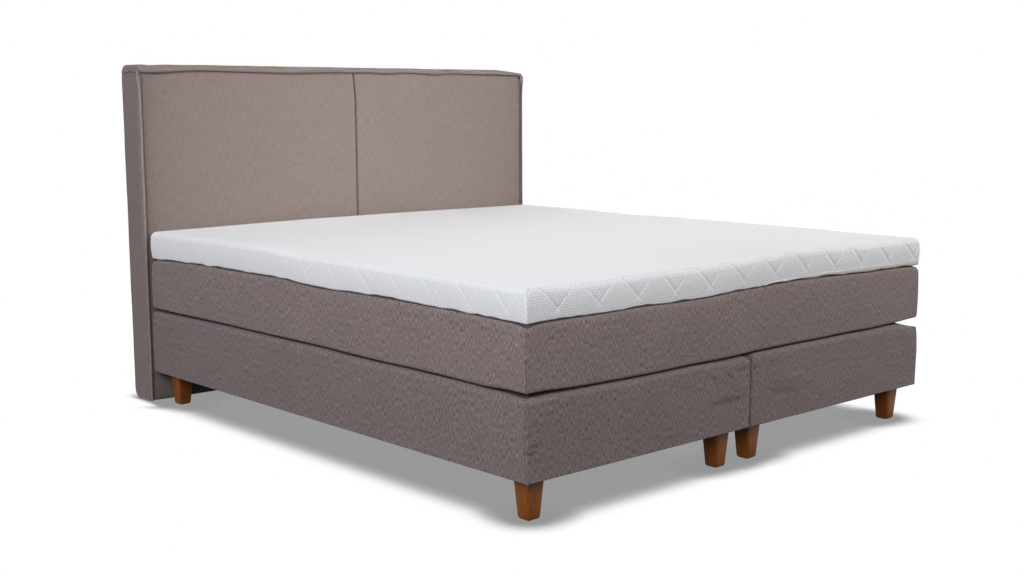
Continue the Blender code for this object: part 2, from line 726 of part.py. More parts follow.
def build_headboard_frame():
    depth = frame_back_y - frame_front_y
    heel = headboard_heel_radius
    heel_angles = [-pi / 2 * (1 - step / heel_steps) for step in range(heel_steps + 1)]
    heel_points = [(frame_back_y - heel + heel * cos(angle), headboard_floor_gap + heel + heel * sin(angle))
                   for angle in heel_angles]
    inner_x = frame_x - stile_width
    for side, name in ((-1, "left"), (1, "right")):
        points = [(frame_front_y, headboard_floor_gap)] + heel_points
        points += [(frame_back_y, frame_top_z), (frame_front_y, frame_top_z)]
        shape = extruded([Vector((side * inner_x, y, z)) for y, z in points], (side * stile_width, 0, 0))
        shoulder = [edge for edge in shape.edges
                    if all(abs(vertex.co.z - frame_top_z) < seat_gap
                           and abs(abs(vertex.co.x) - frame_x) < seat_gap for vertex in edge.verts)]
        bmesh.ops.bevel(shape, geom=shoulder, offset=headboard_frame_corner, segments=corner_steps,
                        affect="EDGES")
        add_part("headboard_" + name + "_stile", shape, "pine",
                 (side * (inner_x + stile_width / 2), frame_front_y, headboard_floor_gap))

    rail_x = inner_x - seat_gap
    points = [(frame_front_y, headboard_floor_gap)] + heel_points
    bottom_rail_top_z = headboard_floor_gap + max(headboard_rail_height, heel)
    points += [(frame_back_y, bottom_rail_top_z), (frame_front_y, bottom_rail_top_z)]
    shape = extruded([Vector((-rail_x, y, z)) for y, z in points], (2 * rail_x, 0, 0))
    add_part("headboard_bottom_rail", shape, "pine", (0, frame_front_y, headboard_floor_gap))
    top_rail_z = frame_top_z - headboard_rail_height
    shape = block((-rail_x, frame_front_y, top_rail_z), (rail_x, frame_back_y, frame_top_z), rail_chamfer)
    add_part("headboard_top_rail", shape, "pine", (0, frame_front_y, top_rail_z))
    half_post = stile_width / 2
    shape = block((-half_post, frame_front_y, bottom_rail_top_z + seat_gap),
                  (half_post, frame_front_y + depth, top_rail_z - seat_gap), rail_chamfer)
    add_part("headboard_mid_post", shape, "pine", (0, frame_front_y, bottom_rail_top_z + seat_gap))

    corner = headboard_frame_corner
    square = rail_chamfer / 2
    points = outline((-frame_x, headboard_floor_gap), (frame_x, frame_top_z),
                     (corner, corner, square, square))
    shape = extruded([Vector((x, board_front_y, z)) for x, z in points], (0, headboard_board_thickness, 0))
    add_part("headboard_board", shape, "board", (0, board_front_y, headboard_floor_gap))

    cloth = back_cloth_thickness
    sheet = []
    for reach in (seat_gap, seat_gap + cloth):
        arc = [(frame_back_y - heel + (heel + reach) * cos(angle),
                headboard_floor_gap + heel + (heel + reach) * sin(angle)) for angle in heel_angles[1:]]
        sheet.append(arc + [(frame_back_y + reach, frame_top_z)])
    points = sheet[0] + list(reversed(sheet[1]))
    shape = extruded([Vector((-frame_x, y, z)) for y, z in points], (2 * frame_x, 0, 0))
    trim_back_cloth(shape)
    add_part("headboard_back_cloth", shape, "black_cloth", (0, headboard_back_y, headboard_floor_gap + heel))


def trim_back_cloth(shape):
    # Rounds the two upper corners of the cloth as the frame's corners are
    upper = [edge for edge in shape.edges
             if all(abs(vertex.co.z - frame_top_z) < seat_gap for vertex in edge.verts)
             and abs(edge.verts[0].co.x - edge.verts[1].co.x) < seat_gap]
    bmesh.ops.bevel(shape, geom=upper, offset=headboard_frame_corner, segments=corner_steps, affect="EDGES")


def build_headboard_pads():
    outer_x = frame_x
    seam_x = seat_gap / 2
    corner = headboard_frame_corner
    square = rail_chamfer / 2
    back_y = headboard_front_y + headboard_pad_depth
    for side, name in ((-1, "left"), (1, "right")):
        low = (-outer_x if side < 0 else seam_x, headboard_floor_gap)
        high = (-seam_x if side < 0 else outer_x, frame_top_z)
        high_radius = corner if side > 0 else square
        low_radius = corner if side < 0 else square
        rings = []
        profile = [(0, back_y)]
        for run, drop in pad_edge_shares:
            profile.append((pad_edge_width * run, headboard_front_y + pad_edge_drop * drop))
        for inset, y in profile:
            shrink = 1 - edge_radius_loss_share * inset / pad_edge_width
            radii = [radius * shrink for radius in (high_radius, low_radius, square, square)]
            points = outline((low[0] + inset, low[1] + inset), (high[0] - inset, high[1] - inset), radii)
            rings.append([Vector((x, y, z)) for x, z in points])
        pad = add_part("headboard_" + name + "_pad", loft(rings), "taupe_upholstery",
                       ((low[0] + high[0]) / 2, back_y, headboard_floor_gap))
        smooth(pad, 40)


def border_stations():
    # Inner edge point, outward direction, back edge and bulge of each section, up the left side,
    # over the top and down the right side
    heel = headboard_heel_radius
    edge_x = frame_x + seat_gap
    edge_z = frame_top_z + seat_gap
    radius = headboard_frame_corner + seat_gap
    stations = []
    for step in range(heel_steps + 1):
        angle = -pi / 2 * (1 - step / heel_steps)
        z = headboard_floor_gap + heel + heel * sin(angle)
        back_y = frame_back_y - heel + heel * cos(angle)
        stations.append(((-edge_x, z), pi, back_y, headboard_side_bulge))
    for step in range(corner_steps + 1):
        angle = pi - pi / 2 * step / corner_steps
        place = (-edge_x + radius + radius * cos(angle), edge_z - radius + radius * sin(angle))
        stations.append((place, angle, frame_back_y, headboard_side_bulge))
    corner_x = edge_x - radius
    for share in bulge_growth_shares:
        grown = headboard_side_bulge + (headboard_top_bulge - headboard_side_bulge) * sin(pi / 2 * share)
        stations.append(((-corner_x + headboard_bulge_run * share, edge_z), pi / 2, frame_back_y, grown))
    mirrored = [((-x, z), pi - angle, back_y, bulge) for (x, z), angle, back_y, bulge in reversed(stations)]
    return stations + mirrored


def build_headboard_border():
    rings = []
    for (x, z), angle, back_y, bulge in border_stations():
        outward = Vector((cos(angle), 0, sin(angle)))
        inner = Vector((x, 0, z))
        ring = [inner + Vector((0, border_front_y, 0)), inner + Vector((0, back_y, 0))]
        for run, rise in reversed(border_bulge_shares):
            reach = headboard_border_thickness + bulge * rise
            y = border_front_y + (back_y - border_front_y) * run
            ring.append(inner + outward * reach + Vector((0, y, 0)))
        rings.append(ring)
    border = add_part("headboard_border", loft(rings), "taupe_upholstery",
                      (0, frame_back_y, headboard_floor_gap))
    smooth(border, 40)


def build_headboard_piping():
    edge_x = border_edge_x - piping_radius
    edge_z = border_edge_z - piping_radius
    radius = headboard_frame_corner + seat_gap + piping_radius
    left = [(-edge_x, headboard_floor_gap)]
    for step in range(corner_steps + 1):
        angle = pi - pi / 2 * step / corner_steps
        left.append((-edge_x + radius + radius * cos(angle), edge_z - radius + radius * sin(angle)))
    route = left + [(-x, z) for x, z in reversed(left)]
    y = headboard_front_y + piping_radius
    curve = bpy.data.curves.new("headboard_piping", "CURVE")
    curve.dimensions = "3D"
    curve.bevel_depth = piping_radius
    curve.bevel_resolution = 2
    curve.use_fill_caps = True
    spline = curve.splines.new("POLY")
    spline.points.add(len(route) - 1)
    for point, (x, z) in zip(spline.points, route):
        point.co = (x, 0, z - headboard_floor_gap, 1)
    curve.materials.append(materials["taupe_piping"])
    piping = bpy.data.objects.new("headboard_piping", curve)
    bpy.context.collection.objects.link(piping)
    empty, base = parents["bed_base"]
    piping.parent = empty
    piping.location = Vector((0, y, headboard_floor_gap)) - base


def build_headboard_brackets():
    top_z = leg_height - seat_gap
    arm = bracket_arm
    metal = bracket_thickness
    half = bracket_width / 2
    points = ((head_y, top_z), (head_y - arm, top_z), (head_y - arm, top_z - metal),
              (head_y - metal, top_z - metal), (head_y - metal, top_z - arm), (head_y, top_z - arm))
    for side, name in ((-1, "left"), (1, "right")):
        x = side * (box_gap + box_width) / 2
        shape = extruded([Vector((x - half, y, z)) for y, z in points], (bracket_width, 0, 0))
        bracket = add_part("headboard_" + name + "_bracket", shape, "zinc_steel", (x, head_y, top_z))
        screw_y = head_y - (arm + metal) / 2
        screw_z = top_z - (arm + metal) / 2
        reach = metal + 2 * cut_overrun
        up = drills([(x, screw_y, top_z - metal - cut_overrun)], bracket_hole_radius, (0, 0, reach))
        combine(bracket, up, "DIFFERENCE")
        back = drills([(x, head_y - metal - cut_overrun, screw_z)], bracket_hole_radius, (0, reach, 0))
        combine(bracket, back, "DIFFERENCE")


def build_bed():
    clear_scene()
    make_materials()
    add_joint_empty("bed_base", (0, 0, 0))
    add_joint_empty("mattress_lift", (0, middle_y, mattress_bottom_z), "bed_base")
    add_joint_empty("topper_lift", (0, middle_y, topper_bottom_z), "mattress_lift")
    build_boxes()
    build_mattress()
    build_topper()
    build_headboard_frame()
    build_headboard_pads()
    build_headboard_border()
    build_headboard_piping()
    build_headboard_brackets()
    bpy.context.view_layer.update()


build_bed()
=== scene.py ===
# Dresses the box spring bed: cloth, knit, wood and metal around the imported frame.
# Metres, +Z up, the foot of the bed at -Y and the headboard at +Y.
import math
import bmesh
import bpy
import numpy as np
from mathutils import Matrix, Vector, noise


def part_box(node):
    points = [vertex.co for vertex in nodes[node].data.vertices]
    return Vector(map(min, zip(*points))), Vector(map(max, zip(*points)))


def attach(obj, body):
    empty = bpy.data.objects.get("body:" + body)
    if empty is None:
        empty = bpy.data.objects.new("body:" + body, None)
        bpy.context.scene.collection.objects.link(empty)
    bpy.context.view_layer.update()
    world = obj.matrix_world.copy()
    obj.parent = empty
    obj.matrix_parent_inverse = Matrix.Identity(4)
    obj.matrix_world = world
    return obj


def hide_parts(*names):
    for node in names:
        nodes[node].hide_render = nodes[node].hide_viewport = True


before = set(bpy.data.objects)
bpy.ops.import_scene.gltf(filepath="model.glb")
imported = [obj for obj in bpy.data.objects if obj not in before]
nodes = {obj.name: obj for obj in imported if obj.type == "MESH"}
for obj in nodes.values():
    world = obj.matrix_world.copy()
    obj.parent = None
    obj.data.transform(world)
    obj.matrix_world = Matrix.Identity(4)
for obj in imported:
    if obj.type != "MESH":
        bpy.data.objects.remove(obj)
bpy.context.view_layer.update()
print("frame loaded:", len(nodes), "nodes")


# the camera stands where the photo was taken from

camera = {
    "place": (-3.1158, -3.4818, 1.0751),
    "turn": 41.87,        # degrees right of +Y
    "dip": 7.86,          # degrees below the horizon
    "roll": -0.28,
    "lens": 47.08,        # mm
    "sensor": 36,         # mm
    "farthest": 60,
}


def hexColour(code):
    channels = [int(code[place:place + 2], 16) / 255 for place in (1, 3, 5)]
    return [c / 12.92 if c <= 0.04045 else ((c + 0.055) / 1.055) ** 2.4 for c in channels] + [1.0]


def deselectAll():
    if bpy.context.mode != "OBJECT":
        bpy.ops.object.mode_set(mode="OBJECT")
    bpy.ops.object.select_all(action="DESELECT")


def makeCamera():
    deselectAll()
    turn, dip, roll = (math.radians(camera[key]) for key in ("turn", "dip", "roll"))
    forward = Vector((math.sin(turn) * math.cos(dip), math.cos(turn) * math.cos(dip), -math.sin(dip)))
    bpy.ops.object.camera_add(location=camera["place"])
    view = bpy.context.active_object
    aim = forward.to_track_quat("-Z", "Y").to_matrix()
    view.rotation_euler = (aim @ Matrix.Rotation(roll, 3, "Z")).to_euler()
    view.data.lens = camera["lens"]
    view.data.sensor_width = camera["sensor"]
    view.data.clip_end = camera["farthest"]
    bpy.context.scene.camera = view


makeCamera()
print("camera placed")


# mesh tools shared by the pieces

def readPoints(piece):
    points = np.zeros(len(piece.data.vertices) * 3, np.float64)
    piece.data.vertices.foreach_get("co", points)
    return points.reshape(-1, 3)


def writePoints(piece, points):
    piece.data.vertices.foreach_set("co", np.ascontiguousarray(points, np.float64).ravel())
    piece.data.update()


def takeNew(name):
    # names the primitive that was just added and puts its place into its mesh
    piece = bpy.context.active_object
    piece.name = name
    piece.data.name = name
    bpy.ops.object.transform_apply(location=True, rotation=True, scale=True)
    return piece


def selectOnly(piece):
    deselectAll()
    piece.select_set(True)
    bpy.context.view_layer.objects.active = piece


def openEdit(piece, kind="EDGE"):
    selectOnly(piece)
    bpy.ops.object.mode_set(mode="EDIT")
    bpy.ops.mesh.select_mode(type=kind)


def pickParts(piece, kind, passes):
    # in edit mode, selects the edges or faces that pass
    shape = bmesh.from_edit_mesh(piece.data)
    for part in getattr(shape, kind):
        part.select_set(passes(part))
    shape.select_flush_mode()
    bmesh.update_edit_mesh(piece.data)


def editWhole(piece, operator, **settings):
    openEdit(piece)
    bpy.ops.mesh.select_all(action="SELECT")
    operator(**settings)
    bpy.ops.object.mode_set(mode="OBJECT")


def applyModifier(piece, kind, **settings):
    selectOnly(piece)
    change = piece.modifiers.new(kind.lower(), kind)
    for key, value in settings.items():
        setattr(change, key, value)
    bpy.ops.object.modifier_apply(modifier=change.name)


def closeLines(low, high, edge, edgeSteps, middleSteps):
    # loop places from low to high, close together inside the edge distance of both ends
    near = np.linspace(0, edge, edgeSteps + 1)[:-1]
    middle = np.linspace(low + edge, high - edge, middleSteps + 1)
    return np.concatenate([low + near, middle, high - near[::-1]])


def edgeRun(edge, axis):
    return abs(edge.verts[1].co[axis] - edge.verts[0].co[axis])


def subdivideAlong(piece, axis, segments):
    # subdivide takes at most 100 cuts, so a long row of loops is cut in two rounds
    first = next(count for count in range(min(segments, 100), 0, -1)
                 if segments % count == 0 and segments // count <= 100)
    for count in (first, segments // first):
        if count > 1:
            pickParts(piece, "edges", lambda edge: edgeRun(edge, axis) > 1e-6)
            bpy.ops.mesh.subdivide(number_cuts=count - 1)


def gridBox(name, *lines):
    # a cube cut into loops, which then go to the given places along x, y and z
    deselectAll()
    bpy.ops.mesh.primitive_cube_add(size=1, location=(0.5, 0.5, 0.5))
    piece = takeNew(name)
    openEdit(piece)
    for axis, places in enumerate(lines):
        subdivideAlong(piece, axis, len(places) - 1)
    bpy.ops.object.mode_set(mode="OBJECT")
    points = readPoints(piece)
    for axis, places in enumerate(lines):
        stations = np.rint(points[:, axis] * (len(places) - 1)).astype(int)
        points[:, axis] = np.asarray(places)[stations]
    writePoints(piece, points)
    return piece


def makeGrid(name, acrossSteps, alongSteps):
    # a flat grid and its vertices' shares, from 0 to 1 both ways
    deselectAll()
    bpy.ops.mesh.primitive_grid_add(x_subdivisions=acrossSteps, y_subdivisions=alongSteps, size=1,
                                    location=(0.5, 0.5, 0))
    piece = takeNew(name)
    return piece, np.clip(readPoints(piece)[:, :2], 0, 1)


def smoothStep(values, low, high):
    # rises from 0 at low to 1 at high, or falls where low is the greater
    share = np.clip((values - low) / (high - low), 0, 1)
    return share * share * (3 - 2 * share)


def softNoise(points, size, seed=0.0, stretch=(1, 1, 1)):
    # smooth unevenness from -1 to 1 with lumps of about the size
    scaled = points / size / np.array(stretch)
    shift = Vector((seed * 7.3, seed * 3.1, seed * 5.7))
    return np.array([noise.noise(Vector(place) + shift) for place in scaled])


def planEdge(points, low, high, radius):
    # distance in from a rounded rectangle's edge, and the outward direction there
    centre = (np.array(low) + np.array(high)) / 2
    half = (np.array(high) - np.array(low)) / 2
    offset = points[:, :2] - centre
    beyond = np.abs(offset) - (half - radius)
    corner = (beyond > 0).all(axis=1)
    length = np.maximum(np.linalg.norm(np.maximum(beyond, 0), axis=1), 1e-9)
    distance = np.where(corner, radius - length, radius - beyond.max(axis=1))
    nearX = beyond[:, 0] >= beyond[:, 1]
    outward = np.stack([nearX, ~nearX], axis=1).astype(float)
    outward[corner] = beyond[corner] / length[corner, None]
    return distance, outward * np.where(offset < 0, -1.0, 1.0)


def roundPlan(points, low, high, radius):
    # a rectangle's corners drawn in to the radius, as squares become circles
    core = np.clip(points[:, :2], np.array(low) + radius, np.array(high) - radius)
    offset = points[:, :2] - core
    reach = np.abs(offset).max(axis=1)
    length = np.maximum(np.linalg.norm(offset, axis=1), 1e-9)
    points[:, :2] = core + offset * (reach / length)[:, None]


def roundRim(points, low, high, planRadius, rimRadius, rimZ, up):
    # rounds the upper (up 1) or lower (up -1) rim of an upright block
    distance, outward = planEdge(points, low, high, planRadius)
    depth = (rimZ - points[:, 2]) * up
    inward = rimRadius - distance
    below = rimRadius - depth
    both = (inward > 0) & (below > 0)
    length = np.maximum(np.hypot(inward, below), 1e-9)
    scale = np.where(both, np.maximum(inward, below) / length, 1.0)
    newDistance = np.where(both, rimRadius - inward * scale, distance)
    newDepth = np.where(both, rimRadius - below * scale, depth)
    points[:, :2] -= outward * (newDistance - distance)[:, None]
    points[:, 2] = rimZ - newDepth * up


def softBlock(points, sizes, bottomZ, topZ):
    # rounds a block; gives height share, distance in from the edge, outward direction, and the shares
    # of the padded side and of the upright face alone
    low, high, radius = sizes["low"], sizes["high"], sizes["planRadius"]
    share = (points[:, 2] - bottomZ) / (topZ - bottomZ)
    roundPlan(points, low, high, radius)
    distance, outward = planEdge(points, low, high, radius)
    roundRim(points, low, high, radius, sizes["topRadius"], topZ, 1)
    roundRim(points, low, high, radius, sizes["bottomRadius"], bottomZ, -1)
    return share, distance, outward, smoothStep(-distance, -0.03, 0), smoothStep(-distance, -0.004, 0)


def sideSwell(points, sizes, share, side, seed):
    # a padded side is fullest half way up and a little uneven
    swell = sizes["sideBulge"] * (np.sin(np.pi * np.clip(share, 0, 1)) - 1)
    return swell + sizes["unevenDepth"] * softNoise(points, sizes["unevenSize"], seed) * side


sewing = {"stitch": 0.011, "seamWidth": 0.0021, "cornerReach": 0.03}


def cornerSeam(points, sizes, outward, face):
    # the sewn seam down each upright corner, in pinched stitches; the share it returns darkens the seam as
    # painted shade
    fromX = np.minimum(points[:, 0] - sizes["low"][0], sizes["high"][0] - points[:, 0])
    fromY = np.minimum(points[:, 1] - sizes["low"][1], sizes["high"][1] - points[:, 1])
    stitch = 0.75 + 0.25 * np.sin(points[:, 2] * 2 * math.pi / sewing["stitch"])
    away = (fromX - fromY - sizes["seamPlace"]) / sewing["seamWidth"]
    shape = np.exp(-away ** 2) * (fromX + fromY < sewing["cornerReach"]) * face
    points[:, :2] -= outward * (sizes["seamDepth"] * stitch * shape)[:, None]
    return shape * stitch


def loopVertices(piece):
    indices = np.zeros(len(piece.data.loops), np.int32)
    piece.data.loops.foreach_get("vertex_index", indices)
    return indices


def loopNormals(piece):
    normals = np.zeros(len(piece.data.polygons) * 3, np.float64)
    piece.data.polygons.foreach_get("normal", normals)
    counts = np.zeros(len(piece.data.polygons), np.int32)
    piece.data.polygons.foreach_get("loop_total", counts)
    return np.repeat(normals.reshape(-1, 3), counts, axis=0)


def clothMap(piece, across=None):
    # lays the cloth on in metres: upright faces from the side, level ones from above
    x, y, z = readPoints(piece)[loopVertices(piece)].T
    normals = np.abs(loopNormals(piece))
    level = normals[:, 2] > np.maximum(normals[:, 0], normals[:, 1])
    facingX = normals[:, 0] > normals[:, 1]
    if across is None:
        u, v = np.where(~level & facingX, y, x), np.where(level, y, z)
    else:
        u, v = across(level, facingX)
    layer = piece.data.uv_layers.get("cloth") or piece.data.uv_layers.new(name="cloth")
    layer.uv.foreach_set("vector", np.stack([u, v], axis=1).astype(np.float32).ravel())


def markPoints(piece, name, amounts):
    # a share from 0 to 1 at each vertex, which the materials read by its name
    layer = piece.data.attributes.get(name) or piece.data.attributes.new(name, "FLOAT", "POINT")
    layer.data.foreach_set("value", np.clip(amounts, 0, 1).astype(np.float32))


def finishPiece(piece, material, body, replaced=(), angle=60):
    selectOnly(piece)
    bpy.ops.object.shade_smooth_by_angle(angle=math.radians(angle))
    piece.data.materials.clear()
    piece.data.materials.append(material)
    if not piece.data.uv_layers.get("cloth"):
        clothMap(piece)
    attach(piece, body)
    if replaced:
        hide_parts(*replaced)


# materials

def addNode(tree, kind, settings, output=0):
    # each setting is a plain value, a hex colour or the output of another node
    node = tree.nodes.new("ShaderNode" + kind)
    for key, value in settings.items():
        if isinstance(value, bpy.types.NodeSocket):
            tree.links.new(value, node.inputs[key])
        elif isinstance(key, int) or key in node.inputs:
            node.inputs[key].default_value = hexColour(value) if isinstance(value, str) else value
        else:
            setattr(node, key, value)
    return node.outputs[output]


def newMaterial(name, colour="#808080"):
    material = bpy.data.materials.new(name)
    material.use_nodes = True
    material.diffuse_color = hexColour(colour)
    shader = material.node_tree.nodes["Principled BSDF"]
    shader.inputs["Base Color"].default_value = hexColour(colour)
    return material, material.node_tree, shader


def finishShader(tree, shader, colour, height, strength, depth, values):
    # the colour, the relief with its depth in metres, and the plain values of a finish
    tree.links.new(colour, shader.inputs["Base Color"])
    relief = addNode(tree, "Bump", {"Strength": strength, "Distance": depth, "Height": height})
    tree.links.new(relief, shader.inputs["Normal"])
    for key, value in values.items():
        shader.inputs[key].default_value = value


def mixTones(tree, settings, tone):
    # between the dark and the light of a finish, over the range in which its pattern varies
    low, high = settings["range"]
    share = addNode(tree, "MapRange", {"From Min": low, "From Max": high, "Value": tone})
    return addNode(tree, "Mix", {"data_type": "RGBA", 0: share, 6: settings["dark"], 7: settings["light"]}, 2)


def crossedWaves(tree, cloth, operation, pitches):
    # two waves across each other: warp and weft, or rows and columns of cells
    parts = addNode(tree, "SeparateXYZ", {"Vector": cloth}).node.outputs
    waves = []
    for axis, pitch in zip("XY", pitches):
        angle = addNode(tree, "Math", {"operation": "MULTIPLY", 0: parts[axis], 1: 2 * math.pi / pitch})
        waves.append(addNode(tree, "Math", {"operation": operation, 0: angle}))
    return addNode(tree, "Math", {"operation": "MULTIPLY", 0: waves[0], 1: waves[1]})


upholsteryCloth = {
    "dark": "#504444",
    "light": "#9b8b8a",
    "range": (0.34, 0.66),
    # painted shade: the dark towards which seams, folds, gaps and sides turned from the light are drawn
    "creaseColour": "#1c0c0a",
    "streakWidth": 0.0024,     # melange yarns are 0.6 mm; drawn as bundles of 2.4 mm, so that they show
    "streakLength": 0.0130,
    "slubLength": 0.0070,
    "slubShare": 0.16,
    "grain": 0.0016,
    "grainShare": 0.14,
    "cloudSize": 0.16,
    "cloudShare": 0.04,
    "threadPitch": 0.0016,     # plain weave of 6 threads a centimetre
    "threadHeight": 0.15,
    "bump": 0.0005,
}


def makeUpholstery(name, **changes):
    # polyester melange flat weave: matt, short streaks along the warp, slightly fuzzy at grazing light
    settings = {**upholsteryCloth, **changes}
    material, tree, shader = newMaterial(name)
    cloth = addNode(tree, "UVMap", {"uv_map": "cloth"})
    streak, length, slub, grain, cloud = (
        1 / settings[key] for key in ("streakWidth", "streakLength", "slubLength", "grain", "cloudSize"))
    yarn = None
    for scale, detail, roughness, share in (
            ((streak, length, 1), 2, 0.6, 1),
            ((slub, streak, 1), 2, 0.5, settings["slubShare"]),
            ((grain, grain, 1), 1, 0.5, settings["grainShare"]),
            ((cloud, cloud, 1), 3, 0.5, settings["cloudShare"])):
        place = addNode(tree, "Mapping", {"Scale": scale, "Vector": cloth})
        layer = addNode(tree, "TexNoise", {"noise_dimensions": "2D", "Scale": 1, "Detail": detail,
                                           "Roughness": roughness, "Vector": place})
        yarn = addNode(tree, "Mix", {"Factor": share, "A": yarn, "B": layer}) if yarn else layer
    # painted shade: seams, folds, gaps between parts and sides turned from the light are darkened towards
    # this colour, by the share each vertex carries
    paintedShadeShare = addNode(tree, "Attribute", {"attribute_name": "crease"}, "Fac")
    colour = addNode(tree, "Mix", {"data_type": "RGBA", 0: paintedShadeShare, 6: mixTones(tree, settings, yarn),
                                   7: settings["creaseColour"]}, 2)
    weave = crossedWaves(tree, cloth, "SINE", [settings["threadPitch"]] * 2)
    thread = addNode(tree, "Math", {"operation": "MULTIPLY_ADD", 0: weave, 1: settings["threadHeight"],
                                    2: yarn})
    finishShader(tree, shader, colour, thread, 0.6, settings["bump"],
                 {"Roughness": 0.93, "Sheen Weight": 0.12, "Sheen Roughness": 0.5,
                  "Specular IOR Level": 0.25})
    return material


knitCloth = {
    "light": "#edeff2",
    "shade": "#85878c",
    "cellWidth": 0.0085,       # knit cells of 4 mm, drawn at 8.5 mm so that they show
    "cellHeight": 0.0150,
    "pinhole": (0.38, 0.98),
    "topTone": 0.92,
    "lattice": 0.150,
    "lineWidth": 0.0048,
    "fibreShare": 0.3,
    "fibres": 300,             # to the metre
    "bump": 0.0012,
}


def makeKnit(settings):
    # double-jersey mattress knit: white and matt, staggered pinholes between puffed cells, quilted zigzags
    material, tree, shader = newMaterial("quiltedKnit", "#e3e6e8")
    cloth = addNode(tree, "UVMap", {"uv_map": "cloth"})
    # the pinholes stand where both waves peak together, so each row is shifted by half a cell
    cells = crossedWaves(tree, cloth, "COSINE", (settings["cellWidth"], settings["cellHeight"]))
    # painted shade: the pinholes are drawn dark, as the shade in the hollows of the knit
    low, high = settings["pinhole"]
    pinhole = addNode(tree, "MapRange", {"interpolation_type": "SMOOTHSTEP", "From Min": low,
                                         "From Max": high, "Value": cells})
    puffed = addNode(tree, "Math", {"operation": "SUBTRACT", 0: 1.0, 1: pinhole})
    parts = addNode(tree, "SeparateXYZ", {"Vector": cloth}).node.outputs
    lines = []
    for operation in ("ADD", "SUBTRACT"):
        slant = addNode(tree, "Math", {"operation": operation, 0: parts["X"], 1: parts["Y"]})
        lines.append(addNode(tree, "Math", {"operation": "PINGPONG", 0: slant, 1: settings["lattice"] / 2}))
    nearest = addNode(tree, "Math", {"operation": "MINIMUM", 0: lines[0], 1: lines[1]})
    across = addNode(tree, "MapRange", {"interpolation_type": "SMOOTHSTEP", "From Min": 0,
                                        "From Max": settings["lineWidth"], "Value": nearest})
    plain = addNode(tree, "Attribute", {"attribute_name": "plain"}, "Fac")     # near the hem the lines end
    clear = addNode(tree, "Math", {"operation": "MAXIMUM", 0: across, 1: plain})
    onLine = addNode(tree, "Math", {"operation": "SUBTRACT", 0: 1.0, 1: clear})
    fibre = addNode(tree, "TexNoise", {"noise_dimensions": "2D", "Scale": settings["fibres"], "Detail": 3,
                                       "Vector": cloth})
    cellTone = addNode(tree, "Mix", {"Factor": settings["fibreShare"], "A": puffed, "B": fibre})
    plainLine = addNode(tree, "Math", {"operation": "MAXIMUM", 0: cellTone, 1: onLine})
    # on top the knit is drawn flat and light and its cells nearly vanish; they open where it turns over the
    # edge, and the darker cells there also paint the sides darker than the top as shade
    turned = addNode(tree, "Attribute", {"attribute_name": "turned"}, "Fac")
    shown = addNode(tree, "Mix", {"Factor": turned, "A": settings["topTone"], "B": plainLine})
    colour = addNode(tree, "Mix", {"data_type": "RGBA", 0: shown, 6: settings["shade"],
                                   7: settings["light"]}, 2)
    quilted = addNode(tree, "Math", {"operation": "MULTIPLY", 0: cellTone, 1: clear})
    height = addNode(tree, "Math", {"operation": "MULTIPLY", 0: quilted, 1: turned})
    finishShader(tree, shader, colour, height, 0.7, settings["bump"],
                 {"Roughness": 0.9, "Sheen Weight": 0.1, "Specular IOR Level": 0.2})
    return material


legWood = {"dark": "#5d2b09", "light": "#8f5319", "grain": 0.0035, "bump": 0.0002, "roughness": 0.45,
           "coat": 0.04}
pine = {"dark": "#b98f57", "light": "#dcbd88", "grain": 0.006, "bump": 0.0003, "roughness": 0.7,
        "coat": 0.0}


def makeWood(name, settings):
    # wood cut along the grain, whose lines run 30 times as long as they are wide, over broad flames
    material, tree, shader = newMaterial(name)
    place = addNode(tree, "TexCoord", {}, "Object")
    fine = 1 / settings["grain"]
    along = addNode(tree, "Mapping", {"Scale": (fine, fine, fine / 30), "Vector": place})
    grain = addNode(tree, "TexNoise", {"Scale": 1, "Detail": 4, "Roughness": 0.6, "Distortion": 0.4,
                                       "Vector": along})
    flame = addNode(tree, "TexNoise", {"Scale": 14, "Detail": 2, "Vector": place})
    mixed = addNode(tree, "Mix", {"Factor": 0.35, "A": grain, "B": flame})
    colour = mixTones(tree, {**settings, "range": (0.32, 0.68)}, mixed)
    finishShader(tree, shader, colour, grain, 0.3, settings["bump"],
                 {"Roughness": settings["roughness"], "Specular IOR Level": 0.22,
                  "Coat Weight": settings["coat"], "Coat Roughness": 0.35})
    return material


def makeMottled(name, dark, light, size, roughness, depth, metallic=0.0):
    # fibrous, cellular or crystalline stuff: two close tones in lumps of a real size
    material, tree, shader = newMaterial(name)
    place = addNode(tree, "TexCoord", {}, "Object")
    lumps = addNode(tree, "TexNoise", {"Scale": 1 / size, "Detail": 4, "Roughness": 0.65, "Vector": place})
    colour = mixTones(tree, {"dark": dark, "light": light, "range": (0.35, 0.65)}, lumps)
    finishShader(tree, shader, colour, lumps, 0.5, depth, {"Roughness": roughness, "Metallic": metallic})
    return material


melangeWeave = makeUpholstery("melangeWeave")
# the boxes take a darker copy of the weave as painted shade, as they sit lower and less light reaches them,
# and the headboard's nap is brushed the other way
boxWeave = makeUpholstery("boxWeave", dark="#4a3f3f", light="#918282")
headboardWeave = makeUpholstery("headboardWeave", dark="#706562", light="#827572", streakLength=0.030)
pipingWeave = makeUpholstery("pipingWeave", dark="#7d716f", light="#978a87")
quiltedKnit = makeKnit(knitCloth)
stainedBeech = makeWood("stainedBeech", legWood)       # brown stain under satin lacquer
planedPine = makeWood("planedPine", pine)              # planed and left bare
# pressed fibres, flecked brown
fibreBoard = makeMottled("fibreBoard", "#8f7148", "#bda078", 0.003, 0.8, 0.0002)
# open cells, pale yellow and dull
openFoam = makeMottled("openFoam", "#dccfa6", "#efe7ca", 0.004, 0.95, 0.0006)
# recycled fibres needled flat, grey
needledFelt = makeMottled("needledFelt", "#74777a", "#a2a5a6", 0.005, 0.98, 0.0008)
